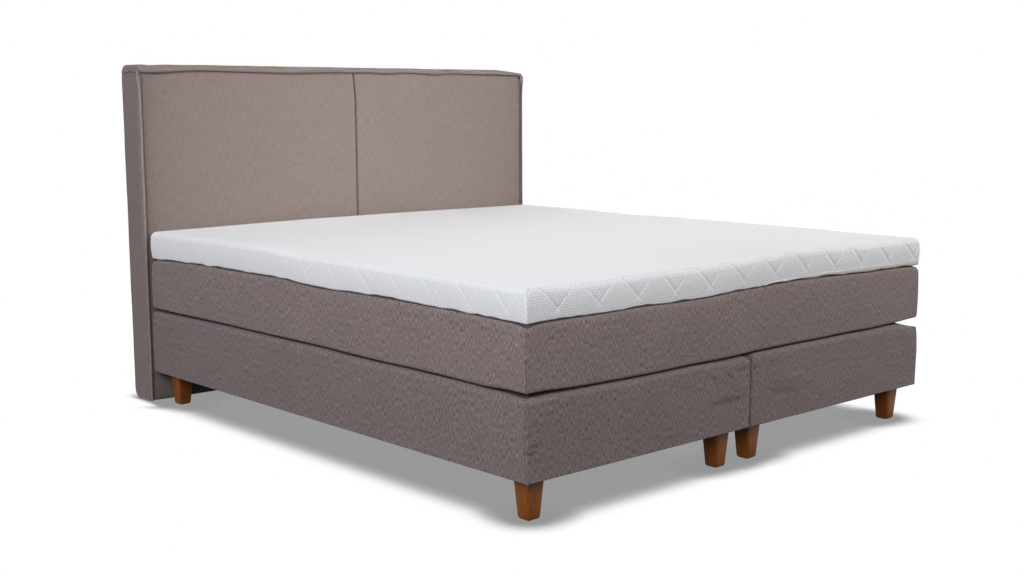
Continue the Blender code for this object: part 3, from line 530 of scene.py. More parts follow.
# non-woven wrap of the springs, white with a fibrous bloom
springWrap = makeMottled("springWrap", "#d2d6d6", "#ebeeee", 0.003, 0.85, 0.0003)
blackSpunbond = makeMottled("blackSpunbond", "#19181a", "#302f31", 0.002, 0.92, 0.0002)
# galvanised steel, in faint spangles
zincPlate = makeMottled("zincPlate", "#989ca0", "#b4b8ba", 0.006, 0.36, 0.00005, 1.0)
# woven polyester tape, beige
zipTape = makeMottled("zipTape", "#bdb7b1", "#cfc9c4", 0.002, 0.85, 0.0003)
print("materials made")


# how the soft pieces lie on each other, traced as heights in metres

# a sleeper's weight and the soft springs leave the mattress and the topper gently waved
topperBottomSide = ((-1.04, 0.5286), (-0.93, 0.5318), (-0.839, 0.5347), (-0.679, 0.534), (-0.457, 0.5359),
    (-0.247, 0.5335), (-0.151, 0.5301), (-0.033, 0.5335), (0.065, 0.5406), (0.322, 0.5384), (0.567, 0.5392),
    (0.756, 0.537), (0.89, 0.5308))
topperTopSide = ((-1.043, 0.6217), (-0.949, 0.6211), (-0.765, 0.6238), (-0.446, 0.6246), (-0.236, 0.6262),
    (-0.07, 0.6225), (0.02, 0.627), (0.154, 0.6345), (0.489, 0.632), (0.9, 0.6275))
topperBottomFoot = ((-0.87, 0.529), (-0.726, 0.5311), (-0.642, 0.5287), (-0.465, 0.5316), (-0.372, 0.529),
    (-0.263, 0.5277), (-0.177, 0.5287), (-0.061, 0.5341), (0.052, 0.5359), (0.111, 0.5394), (0.217, 0.5414),
    (0.343, 0.5393), (0.465, 0.5357), (0.576, 0.5333), (0.725, 0.5342), (0.864, 0.5304))
topperTopFoot = ((-0.859, 0.6207), (-0.713, 0.6141), (-0.629, 0.6165), (-0.482, 0.6214), (-0.23, 0.619),
    (0.016, 0.6234), (0.2, 0.6319), (0.317, 0.6298), (0.439, 0.6267), (0.565, 0.6211), (0.696, 0.6163),
    (0.853, 0.6183))
topperTopHead = ((-0.85, 0.6275), (-0.26, 0.6327), (0.23, 0.632), (0.78, 0.629))
mattressBottomFoot = ((-0.9, 0.35), (-0.872, 0.3518), (-0.816, 0.3496), (-0.76, 0.3461), (-0.7, 0.3442),
    (-0.58, 0.342), (-0.456, 0.3402), (-0.325, 0.3411), (-0.257, 0.342), (-0.15, 0.3408), (-0.042, 0.342),
    (0.033, 0.3439), (0.19, 0.3451), (0.354, 0.3437), (0.528, 0.3441), (0.619, 0.343), (0.712, 0.3444),
    (0.81, 0.3456), (0.9, 0.35))
mattressBottomSide = ((-1.063, 0.35), (-0.981, 0.3508), (-0.903, 0.3472), (-0.822, 0.3474), (-0.739, 0.3496),
    (-0.56, 0.3503), (-0.47, 0.3489), (-0.374, 0.3489), (-0.274, 0.3509), (-0.17, 0.3525), (0.05, 0.3525),
    (0.168, 0.3519), (0.29, 0.3518), (0.417, 0.3526), (0.55, 0.3519), (0.689, 0.3503), (0.937, 0.35))
# top edges of the boxes, which droop at the corners where the foam is thin
leftBoxFoot = ((-0.9, 0.3275), (-0.885, 0.334), (-0.872, 0.3372), (-0.816, 0.3372), (-0.7, 0.335),
    (-0.58, 0.3338), (-0.456, 0.333), (-0.257, 0.3335), (-0.15, 0.3325), (-0.06, 0.331), (-0.03, 0.328),
    (-0.002, 0.3225))
rightBoxFoot = ((0.002, 0.3225), (0.02, 0.332), (0.06, 0.336), (0.27, 0.3372), (0.44, 0.3358),
    (0.619, 0.3353), (0.76, 0.3352), (0.8, 0.333), (0.84, 0.328), (0.88, 0.321), (0.9, 0.317))
leftBoxSide = ((-1.063, 0.3275), (-1.04, 0.335), (-1.0, 0.3385), (-0.9, 0.3385), (-0.82, 0.34),
    (-0.56, 0.342), (-0.37, 0.34), (-0.27, 0.34), (-0.17, 0.3437), (0.05, 0.343), (0.417, 0.343),
    (0.55, 0.3415), (0.689, 0.3393), (0.937, 0.336))
rightBoxSide = ((-1.063, 0.317), (-1.0, 0.322), (-0.94, 0.328), (-0.86, 0.334), (-0.7, 0.338), (0.8, 0.34),
    (0.937, 0.336))
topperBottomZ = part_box("topper_lower_cover")[0].z
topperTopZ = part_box("topper_core")[1].z + 0.0043      # the quilted cover over the core
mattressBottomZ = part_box("mattress_bottom_panel")[0].z
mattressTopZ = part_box("mattress_top_panel")[1].z

bed = {"sideX": 0.9, "footY": -1.063, "headY": 0.937}      # where the traced edges run


def smoothLine(line, places, window=0.04):
    # reads the height along a traced line, with its kinks rounded off
    knots, heights = np.array(line).T
    steps = np.linspace(-window, window, 9)
    return np.mean([np.interp(places + step, knots, heights) for step in steps], axis=0)


def blendEdges(edges, reach):
    # each edge is a distance in from it and the lift there; they fade inwards and share the corners
    weights = [np.exp(-(np.clip(away, 0, 3) / reach) ** 2) for away, lift in edges]
    total = np.maximum(sum(weights), 1.0)
    return sum(weight * lift for weight, (away, lift) in zip(weights, edges)) / total


def edgeLift(points, side, foot, head, level, reach=0.24, window=0.04):
    # the traced lift along the four edges of the bed; the far side, out of the photo, takes a mild copy
    x, y = points[:, 0], points[:, 1]
    return blendEdges((
        (bed["sideX"] + x, smoothLine(side, y, window) - level),
        (y - bed["footY"], smoothLine(foot, x, window) - level),
        (bed["sideX"] - x, (smoothLine(side, y * 0.8 - 0.3, window) - level) * 0.6),
        (bed["headY"] - y, smoothLine(head, x, window) - level),
    ), reach)


def levelLine(height):
    return (-bed["sideX"], height), (bed["sideX"], height)


def bedLift(points):
    # the wave that the mattress's top and the topper's underside share
    return edgeLift(points, topperBottomSide, topperBottomFoot, levelLine(topperBottomZ + 0.001),
                    topperBottomZ)


# mattress

mattress = {
    "low": (-0.900, -1.063),
    "high": (0.900, 0.932),
    "planRadius": 0.007,
    "topRadius": 0.016,
    "bottomRadius": 0.009,
    "loopEdge": 0.012,
    "sideBulge": 0.003,
    "unevenDepth": 0.0024,
    "unevenSize": 0.15,
    "seamDepth": 0.0030,
    "seamPlace": -0.0025,      # along the wall from the corner, negative round on the long side
    "restZ": 0.3500,           # the underside where it lies level
    "sagReach": 0.050,
    "cornerDrop": 0.009,       # how far the four upper corners give way
    "cornerReach": 0.035,
}


def makeMattress():
    low, high, edge = mattress["low"], mattress["high"], mattress["loopEdge"]
    piece = gridBox("mattressCover", closeLines(low[0], high[0], edge, 10, 140),
                    closeLines(low[1], high[1], edge, 8, 120),
                    closeLines(mattressBottomZ, mattressTopZ, edge, 6, 14))
    points = readPoints(piece)
    share, distance, outward, side, face = softBlock(points, mattress, mattressBottomZ, mattressTopZ)
    face *= smoothStep(share, 0.02, 0.05) * smoothStep(share, 0.99, 0.95)
    seam = cornerSeam(points, mattress, outward, face)
    bulge = sideSwell(points, mattress, share, side, 1.0)
    points[:, :2] += outward * (bulge * side)[:, None]
    points[:, 2] += bedLift(points) * smoothStep(share, 0.45, 1.0)
    fromCorner = np.hypot(high[0] - np.abs(points[:, 0]),
                          np.minimum(points[:, 1] - low[1], high[1] - points[:, 1]))
    given = np.exp(-(fromCorner / mattress["cornerReach"]) ** 2) * smoothStep(share, 0.7, 1.0)
    points[:, 2] -= mattress["cornerDrop"] * given
    sag = edgeLift(points, mattressBottomSide, mattressBottomFoot, levelLine(mattress["restZ"]),
                   mattressBottomZ, mattress["sagReach"], 0.02)
    points[:, 2] += sag * smoothStep(share, 0.40, 0.0)
    writePoints(piece, points)
    clothMap(piece)
    # painted shade: the underside, all but its outer rim, is darkened for the gap over the box, and a band
    # just in from the top edge for the shadow under the topper
    under = 0.88 * smoothStep(distance, 0.0030, 0.0055) * (share < 0.2)
    topperShadowBand = 0.75 * smoothStep(distance, 0.002, 0.005) * smoothStep(distance, 0.014, 0.009) * (share > 0.8)
    markPoints(piece, "crease", np.maximum.reduce([0.8 * seam, under, topperShadowBand]))
    finishPiece(piece, melangeWeave, "mattress",
                ("mattress_border", "mattress_top_panel", "mattress_bottom_panel"))


makeMattress()
print("mattress made")


# topper

topper = {
    "low": (-0.900, -1.063),
    "high": (0.900, 0.928),
    "planRadius": 0.009,
    "topRadius": 0.022,
    "bottomRadius": 0.005,
    "sideBulge": 0.005,
    "unevenDepth": 0.0012,
    "unevenSize": 0.10,
    "crown": 0.004,
    "topUneven": 0.0012,
    "puckers": 0.0032,
    "puckerSize": 0.045,
    "lattice": 0.150,          # quilting lines, 150 mm apart along the edge and at 45 degrees
    "latticeDrop": 0.012,      # the lines cross this far above the top edge
    "latticeShift": 0.034,
    "latticeEnd": (0.16, 0.30),      # share of the height over which the lines end above the hem
    "grooveDepth": 0.0027,
    "grooveWidth": 0.0042,
    "longSideGroove": 0.35,    # the long side is drawn tighter than the foot
    "hemStart": 0.06,
    "hemHeight": 0.0135,
    "hemThickness": 0.0022,
}


def topperLift(points, share):
    # the underside's wave passes into that of the top edge
    topLift = edgeLift(points, topperTopSide, topperTopFoot, topperTopHead, topperTopZ)
    return bedLift(points) * (1 - share) + topLift * share


def shapeTopper(points):
    # gives the places before shaping, how far the knit's cells show past the edge, which also paints the
    # sides darker than the top as shade, and where no lines run
    flat = points.copy()
    share, distance, outward, side, face = softBlock(points, topper, topperBottomZ, topperTopZ)
    bulge = sideSwell(points, topper, share * 0.9 + 0.02, side, 2.0)
    nearX = np.abs(outward[:, 0]) > np.abs(outward[:, 1])
    along = np.where(nearX, flat[:, 1] - topper["low"][1], flat[:, 0] - topper["latticeShift"])
    down = topperTopZ - flat[:, 2] + topper["latticeDrop"]
    phases = [np.mod(slant, topper["lattice"]) for slant in (along + down, along - down)]
    nearest = np.minimum.reduce([np.minimum(phase, topper["lattice"] - phase) for phase in phases])
    groove = topper["grooveDepth"] * np.where(nearX, topper["longSideGroove"], 1.0)
    groove *= np.exp(-(nearest / topper["grooveWidth"]) ** 2)
    bulge -= groove * face * smoothStep(share, 1.0, 0.92) * smoothStep(share, *topper["latticeEnd"])
    points[:, :2] += outward * (bulge * side)[:, None]
    middle = (1 - (points[:, 0] / bed["sideX"]) ** 2) * (1 - (points[:, 1] / bed["footY"]) ** 2)
    rise = topper["crown"] * np.clip(middle, 0, 1)
    rise += topper["topUneven"] * softNoise(points, 0.24, 3.0) * smoothStep(distance, 0.02, 0.10)
    pucker = topper["puckers"] * softNoise(points, topper["puckerSize"], 4.0) * side
    pucker *= smoothStep(share, 0.25, 0.0)
    points[:, 2] += topperLift(points, share) + rise * share + pucker
    # painted shade: the long side shows the cells at a lower share than the foot, so it is drawn lighter, and
    # darker towards the foot end
    onLongSide = 0.34 + 0.26 * smoothStep(-points[:, 1], 0.2, 1.0)
    turned = smoothStep(-distance, -0.018, -0.002) * np.where(nearX, onLongSide, 1.0)
    return flat, turned, 1 - smoothStep(share, *topper["latticeEnd"])


def isWall(face):
    return abs(face.normal.z) < 0.5


def makeTopper():
    low, high, edge = topper["low"], topper["high"], topper["topRadius"]
    piece = gridBox("topperCover", closeLines(low[0], high[0], edge, 8, 100),
                    closeLines(low[1], high[1], edge, 8, 110),
                    closeLines(topperBottomZ, topperTopZ, edge, 4, 4))
    # finer loops on the upright faces alone, so that stitched lines show as form
    openEdit(piece)
    for upright, touches, cuts in ((False, any, 4), (True, all, 2)):
        pickParts(piece, "edges", lambda edge: (edgeRun(edge, 2) > 1e-6) == upright
                  and touches(isWall(face) for face in edge.link_faces))
        bpy.ops.mesh.subdivide(number_cuts=cuts)
    bpy.ops.object.mode_set(mode="OBJECT")
    points = readPoints(piece)
    flat, turned, plain = shapeTopper(points)
    writePoints(piece, points)
    x, y, z = flat[loopVertices(piece)].T
    y = y - (bed["footY"] + bed["headY"]) / 2      # from the middle of the bed

    def knitRun(level, facingX):
        # the knit runs on from the top over the edges, down the sides
        onSide, onEnd = ~level & facingX, ~level & ~facingX
        extraX = topper["latticeDrop"] * smoothStep(np.abs(x), 0.84, 0.90)
        extraY = topper["latticeDrop"] * smoothStep(np.abs(y), 0.94, 1.00)
        beyondX = (topperTopZ - z + extraX) * onSide + extraX * level
        beyondY = (topperTopZ - z + extraY) * onEnd + extraY * level
        return x + np.sign(x) * beyondX - topper["latticeShift"] * onEnd, y + np.sign(y) * (0.05 + beyondY)

    clothMap(piece, knitRun)
    markPoints(piece, "turned", turned)
    markPoints(piece, "plain", plain)
    finishPiece(piece, quiltedKnit, "topper", ("topper_upper_cover", "topper_lower_cover"))


def makeHemTape():
    # the zip tape that shows under the knit along the foot
    piece, shares = makeGrid("topperHemTape", 240, 10)
    start, end = topper["hemStart"], topper["high"][0] - 0.012
    x = start + (end - start) * shares[:, 0]
    height = topper["hemHeight"] * smoothStep(shares[:, 0], -0.15, 0.7)
    points = np.stack([x, np.full(len(x), topper["low"][1]), topperBottomZ + 0.0012 + height * shares[:, 1]],
                      axis=1)
    shapeTopper(points)
    arch = np.clip(np.sin(np.pi * shares[:, 1]), 0, 1) ** 0.5
    points[:, 1] -= 0.0004 + 0.0012 * arch
    writePoints(piece, points)
    editWhole(piece, bpy.ops.mesh.normals_make_consistent, inside=False)
    applyModifier(piece, "SOLIDIFY", thickness=topper["hemThickness"], offset=1.0)
    finishPiece(piece, zipTape, "topper")


def makeFoam(name, node, body, lift, radius=0.020):
    # the foam inside a cover, lifted with it so that it stays inside
    low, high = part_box(node)
    margin = min(radius, (high.z - low.z) / 3)
    piece = gridBox(name, closeLines(low.x, high.x, radius, 4, 40), closeLines(low.y, high.y, radius, 4, 40),
                    closeLines(low.z, high.z, margin, 3, 2))
    points = readPoints(piece)
    sizes = {"low": low[:2], "high": high[:2], "planRadius": radius, "topRadius": margin,
             "bottomRadius": margin}
    share = softBlock(points, sizes, low.z, high.z)[0]
    points[:, 2] += lift(points, share)
    writePoints(piece, points)
    finishPiece(piece, openFoam, body, (node,))


makeTopper()
makeHemTape()
makeFoam("topperFoam", "topper_core", "topper", topperLift)
print("topper made")


# boxes

boxes = {
    "left": {"low": (-0.900, -1.063), "high": (-0.002, 0.937), "seed": 5.0},
    "right": {"low": (0.002, -1.063), "high": (0.900, 0.937), "seed": 6.0},
    "planRadius": 0.005,
    "topRadius": 0.016,
    "bottomRadius": 0.003,
    "sideBulge": 0.002,
    "unevenDepth": 0.0016,
    "unevenSize": 0.12,
    "seamDepth": 0.0024,
    "seamPlace": -0.008,
    "plainZ": 0.3400,          # the top edge where it lies level
    "sagReach": 0.050,
    "hemWidth": 0.016,
    "clothThickness": 0.003,
    "pressing": 2.1,           # how much deeper than measured the folds are pressed, so that they show
    "dustDip": 0.0012,
    "dustUneven": 0.0003,
    "dustThickness": 0.0006,
}

# folds of the foot panels: x and z of both ends, width and depth
footFolds = (
    (-0.035, 0.2130, -0.190, 0.2105, 0.0085, 0.0022),
    (-0.119, 0.3110, -0.086, 0.2857, 0.0060, 0.0020),
    (-0.181, 0.3020, -0.163, 0.2880, 0.0060, 0.0012),
    (-0.017, 0.3050, -0.085, 0.3100, 0.0050, 0.0018),
    (-0.050, 0.2950, -0.160, 0.3000, 0.0120, -0.0012),
    (0.006, 0.3045, 0.034, 0.3030, 0.0042, 0.0026),
    (0.008, 0.2980, 0.045, 0.2960, 0.0060, -0.0014),
    (0.071, 0.2160, 0.220, 0.1960, 0.0080, 0.0012),
    (0.120, 0.2500, 0.300, 0.2300, 0.0160, -0.0012),
    (-0.892, 0.2720, -0.858, 0.2730, 0.0042, 0.0016),
    (-0.892, 0.2130, -0.856, 0.2130, 0.0042, 0.0020),
    (-0.896, 0.1945, -0.880, 0.1940, 0.0030, 0.0022),
    (-0.899, 0.2430, -0.884, 0.2425, 0.0030, 0.0018),
)


def boxLift(points, side, level):
    # how far the box's padded top lies above or below its level along the traced edges
    x, y = points[:, 0], points[:, 1]
    foot, outer = (leftBoxFoot, leftBoxSide) if side == "left" else (rightBoxFoot, rightBoxSide)
    plain = np.full(len(x), boxes["plainZ"] - level)
    return blendEdges((
        (bed["sideX"] + (x if side == "left" else -x), smoothLine(outer, y, 0.012) - level),
        (y - bed["footY"], smoothLine(foot, x, 0.012) - level),
        (np.abs(x) + boxes["left"]["high"][0], plain),
        (bed["headY"] - y, plain),
    ), boxes["sagReach"])


def pressFolds(points, wallY):
    # presses the folds in and returns how deep each point lies in one
    onWall = smoothStep(wallY - points[:, 1], -0.012, -0.004)
    sunk = np.zeros(len(points))
    for x0, z0, x1, z1, width, depth in footFolds:
        run = np.array([x1 - x0, z1 - z0])
        place = points[:, [0, 2]] - np.array([x0, z0])
        share = np.clip(place @ run / (run @ run), 0, 1)
        away = np.linalg.norm(place - share[:, None] * run, axis=1)
        taper = np.sin(np.pi * (0.12 + 0.76 * share))
        pressed = depth * np.exp(-(away / width) ** 2) * taper * onWall
        points[:, 1] += boxes["pressing"] * pressed
        sunk = np.maximum(sunk, pressed / 0.002)
    return sunk


def makeBoxCover(side):
    sizes = {**boxes, **boxes[side]}
    low, high, edge, hem = (sizes[key] for key in ("low", "high", "topRadius", "hemWidth"))
    bottomZ, topZ = (corner.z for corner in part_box(side + "_box_cover"))
    piece = gridBox(side + "BoxCover", closeLines(low[0], high[0], edge, 12, 140),
                    closeLines(low[1], high[1], edge, 12, 64), closeLines(bottomZ, topZ, edge, 8, 32))
    points = readPoints(piece)
    share, distance, outward, wall, face = softBlock(points, sizes, bottomZ, topZ)
    face *= smoothStep(share, 0.01, 0.03) * smoothStep(share, 0.98, 0.93)
    seam = cornerSeam(points, sizes, outward, face)
    bulge = sideSwell(points, sizes, share, wall, sizes["seed"])
    points[:, :2] += outward * (bulge * wall)[:, None]
    sunk = pressFolds(points, low[1])
    points[:, 2] += boxLift(points, side, topZ) * smoothStep(share, 0.45, 0.88)
    writePoints(piece, points)
    # painted shade: the top, in from a rim of 14 to 20 mm, is darkened for the gap under the mattress, and
    # the corner seams and folds are darkened as shade in them
    over = 0.88 * smoothStep(distance, 0.014, 0.020) * (share > 0.9)
    markPoints(piece, "crease", np.maximum.reduce([0.55 * seam, over, 0.36 * sunk]))

    def insideHem(face):
        place = face.calc_center_median()
        return (face.normal.z < -0.9 and low[0] + hem < place.x < high[0] - hem
                and low[1] + hem < place.y < high[1] - hem)

    openEdit(piece, "FACE")
    pickParts(piece, "faces", insideHem)
    bpy.ops.mesh.delete(type="FACE")
    bpy.ops.object.mode_set(mode="OBJECT")
    applyModifier(piece, "SOLIDIFY", thickness=boxes["clothThickness"], offset=-1.0)
    clothMap(piece)
    finishPiece(piece, boxWeave, "bed_base", (side + "_box_cover",))
    # the foam pad under the cover gives way with it at the edges
    makeFoam(side + "BoxPad", side + "_box_top_pad", "bed_base",
             lambda places, height: boxLift(places, side, topZ) * height)


def makeDustCover(side):
    # black spunbond, stapled taut under the frame, that dips a little between the rails
    node = side + "_box_dust_cover"
    low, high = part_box(node)
    piece, shares = makeGrid(side + "DustCover", 60, 90)
    place = np.array([low.x, low.y]) + shares * np.array([high.x - low.x, high.y - low.y])
    dip = np.sin(np.pi * shares[:, 0]) * np.sin(np.pi * shares[:, 1])
    points = np.column_stack([place, np.full(len(place), high.z - 0.0004)])
    uneven = boxes["dustUneven"] * softNoise(points, 0.12, 9.0) * dip
    points[:, 2] -= boxes["dustDip"] * np.sqrt(np.clip(dip, 0, 1)) + uneven
    writePoints(piece, points)
    applyModifier(piece, "SOLIDIFY", thickness=boxes["dustThickness"], offset=-1.0)
    finishPiece(piece, blackSpunbond, "bed_base", (node,))


for side in ("left", "right"):
    makeBoxCover(side)
    makeDustCover(side)
print("boxes covered")


# legs

leg = {
    "topWidth": 0.062,
    "footWidth": 0.0445,
    "play": 0.0003,            # between the leg's top and the box
    "edgeRound": 0.008,
    "soleRound": 0.009,
    "studRadius": 0.0045,
}


def makeLeg(node):
    low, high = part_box(node)
    centre = (low + high) / 2
    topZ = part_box("left_box_cover")[0].z - leg["play"]
    deselectAll()
    bpy.ops.mesh.primitive_cube_add(size=1, location=(centre.x, centre.y, topZ / 2))
    piece = bpy.context.active_object
    words = node.split("_")
    piece.name = words[0] + "".join(word.capitalize() for word in words[2:]) + "Leg"
    piece.data.name = piece.name
    points = readPoints(piece)
    width = np.where(points[:, 2] > 0, leg["topWidth"], leg["footWidth"])
    writePoints(piece, points * np.column_stack([width, width, np.full(len(width), topZ)]))
    openEdit(piece)
    pickParts(piece, "edges", lambda edge: edgeRun(edge, 2) > topZ / 2)
    bpy.ops.mesh.bevel(offset=leg["edgeRound"], segments=5)
    pickParts(piece, "edges", lambda edge: all(vertex.co.z < -topZ / 2 + 1e-5 for vertex in edge.verts))
    bpy.ops.mesh.bevel(offset=leg["soleRound"], segments=4)
    # the threaded stud that goes up into the frame's nut
    bpy.ops.mesh.select_mode(type="FACE")
    pickParts(piece, "faces", lambda face: all(vertex.co.z > topZ / 2 - 1e-5 for vertex in face.verts))
    bpy.ops.mesh.inset(thickness=leg["topWidth"] / 2 - leg["studRadius"])
    shape = bmesh.from_edit_mesh(piece.data)
    for vertex in shape.verts:
        if vertex.select:
            flat = Vector((vertex.co.x, vertex.co.y, 0))
            vertex.co = flat.normalized() * leg["studRadius"] + Vector((0, 0, topZ / 2))
    bmesh.update_edit_mesh(piece.data)
    bpy.ops.mesh.extrude_region_move(TRANSFORM_OT_translate={"value": (0, 0, high.z - topZ)})
    bpy.ops.object.mode_set(mode="OBJECT")
    bpy.ops.object.transform_apply(location=True, rotation=True, scale=True)
    finishPiece(piece, stainedBeech, "bed_base", (node,), 40)


for node in sorted(name for name in nodes if "_leg_" in name and "_nut_" not in name):
    makeLeg(node)
print("legs made")


# headboard

headboard = {
    "frameX": 0.9007,
    "frameTopZ": 1.1877,
    "backY": 1.0612,
    "bottomZ": 0.009,
    "edgeX": 0.910,
    "edgeZ": 1.197,
    "cornerRadius": 0.006,
    "heelRadius": 0.035,
    "sideFrontY": 0.9476,
    "topFrontY": 0.9385,
    "sideBulge": 0.004,
    "topBulge": 0.018,
    "leftRun": 0.008,          # how soon the top grows to its full bulge from the left
    "rightRun": 0.140,
    "clothThickness": 0.0025,
    # how deep the cloth is drawn in beside each edge of a pad, and over what reach
    "padEdges": {"outer": ((0.007, 0.009), (0.004, 0.040)), "upper": ((0.007, 0.007), (0.002, 0.030)),
                 "inner": ((0.0075, 0.0035), (0.0016, 0.018)), "lower": ((0.006, 0.010),)},
    "padShade": {"left": (0.75, 0.17), "right": (0.0, 0.04)},      # beside the welt and near it
    "middleSeam": 0.0168,      # the seam between the pads stands right of the middle
    "middleLean": 0.008,       # and leans back at its top
    "weltRadius": 0.0036,
    "weltY": 0.9412,
    "backTurn": 1.15,          # radians that the back cloth is turned under the heel
    "backThickness": 0.0008,
}
# height of the seam under the top border, which runs in slight waves
topSeam = ((-0.9226, 1.1924), (-0.8587, 1.1858), (-0.7547, 1.1944), (-0.6541, 1.1981), (-0.4797, 1.1951),
    (-0.2969, 1.192), (-0.1047, 1.1979), (0.0094, 1.1977), (0.0874, 1.2001), (0.1667, 1.195),
    (0.2632, 1.2021), (0.3723, 1.1972), (0.4306, 1.1942), (0.4899, 1.2014), (0.5774, 1.1982),
    (0.7293, 1.1981), (0.8043, 1.1967), (0.9164, 1.1943))


def seamHeight(x):
    return smoothLine(topSeam, x, 0.022)


def makePad(side):
    low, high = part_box("headboard_" + side + "_pad")
    name = "headboard" + side.capitalize() + "Pad"
    piece = gridBox(name, closeLines(low.x, high.x, 0.05, 20, 90), np.linspace(low.y, high.y, 5),
                    closeLines(low.z, high.z, 0.05, 20, 110))
    points = readPoints(piece)
    x, z = points[:, 0].copy(), points[:, 2].copy()
    ends = (x - low.x, high.x - x)
    outer, inner = ends if side == "left" else ends[::-1]
    away = {"outer": outer, "inner": inner, "upper": high.z - z, "lower": z - low.z}
    upper = away["upper"]
    drop = sum(depth * np.exp(-away[edge] / reach)
               for edge, steps in headboard["padEdges"].items() for depth, reach in steps)
    uneven = 0.0004 * softNoise(points, 0.13, 8.0 if side == "left" else 9.0, (1, 1, 1.8))
    uneven *= smoothStep(np.minimum.reduce(list(away.values())), 0, 0.03)
    # the cloth is drawn to the upper corners in faint upright folds
    folds = 0.0008 * np.sin(outer / 0.0105) * np.exp(-outer / 0.07) * smoothStep(z, 0.9, 1.15)
    folds += 0.0006 * np.sin(upper / 0.012) * np.exp(-upper / 0.05) * np.exp(-outer / 0.35)
    folds *= smoothStep(outer, 0, 0.01)
    ripple = 0.0008 * np.sin(z / 0.021 + 2 * np.sin(z / 0.13)) * np.exp(-inner / 0.016)
    front = (high.y - points[:, 1]) / (high.y - low.y)
    points[:, 1] += (drop + uneven + folds + ripple) * front
    points[:, 2] += (seamHeight(x) + 0.001 - high.z) * smoothStep(z, 1.02, high.z)
    seam = headboard["middleSeam"] - headboard["middleLean"] * smoothStep(points[:, 2], 1.06, 1.21)
    points[:, 0] += seam * (1 - np.abs(x) / headboard["frameX"])
    writePoints(piece, points)
    clothMap(piece)
    # painted shade: darker beside the welt and over a broad band in from it, and in thin lines along the top
    # seam and the middle seam
    besideWelt, nearWelt = headboard["padShade"][side]
    crease = besideWelt * np.exp(-(outer / 0.0036) ** 2) + nearWelt * np.exp(-outer / 0.065)
    crease += 0.85 * np.exp(-(upper / 0.0060) ** 2) + 0.62 * np.exp(-(inner / 0.0030) ** 2)
    markPoints(piece, "crease", crease)
    finishPiece(piece, headboardWeave, "bed_base", ("headboard_" + side + "_pad",))


def borderLengths():
    # along the border: up a side, round a corner, and from the foot to the middle of the top
    upright = headboard["edgeZ"] - headboard["cornerRadius"] - headboard["bottomZ"]
    bend = headboard["cornerRadius"] * math.pi / 2
    return upright, bend, upright + bend + headboard["edgeX"] - headboard["cornerRadius"]


def borderPath(share):
    # a place on the border's line and its outward direction, from the left foot over the top
    radius = headboard["cornerRadius"]
    upright, bend, half = borderLengths()
    away = np.asarray(share) * 2 * half
    mirrored = away > half
    away = np.where(mirrored, 2 * half - away, away)
    angle = np.clip((away - upright) / radius, 0, math.pi / 2)
    x = radius - headboard["edgeX"] - radius * np.cos(angle) + np.clip(away - upright - bend, 0, None)
    z = headboard["bottomZ"] + np.minimum(away, upright) + radius * np.sin(angle)
    side = np.where(mirrored, -1, 1)
    return x * side, z, -np.cos(angle) * side, np.sin(angle)


def borderShares():
    # stations along the border, close together round the corners and at the heel
    upright, bend, half = borderLengths()
    places = np.concatenate([np.linspace(0, 0.05, 15)[:-1], np.linspace(0.05, upright - 0.08, 90)[:-1],
                             np.linspace(upright - 0.08, upright + bend + 0.12, 101)[:-1],
                             np.linspace(upright + bend + 0.12, half, 90)])
    return np.concatenate([places, 2 * half - places[::-1][1:]]) / (2 * half)


def bandPlace(v, frontY, backY, reach, foot):
    # the border's section: out of the front seam, round, over to the back and in again
    corner = np.minimum(0.0075, reach * 0.45)
    spans = ((0.00, 0.05), (0.05, 0.20), (0.20, 0.32), (0.32, 0.84), (0.84, 0.94), (0.94, 1.00))
    tuck, rise, bend, over, backBend, lip = (np.clip((v - low) / (high - low), 0, 1) for low, high in spans)
    bend, backBend = bend * math.pi / 2, backBend * math.pi / 2
    y = frontY + 0.007 * (1 - tuck) - 0.0022 * np.sin(np.pi * rise) * np.clip(reach / 0.02, 0, 1)
    y += corner * (1 - np.cos(bend) + np.sin(backBend)) + (backY - frontY - 2 * corner) * over + 0.0010 * lip
    out = foot + 0.001 * tuck + (reach - corner - foot - 0.001) * rise
    out += corner * (np.sin(bend) - 1 + np.cos(backBend)) - np.minimum(0.010, reach * 0.5) * lip
    return y, out


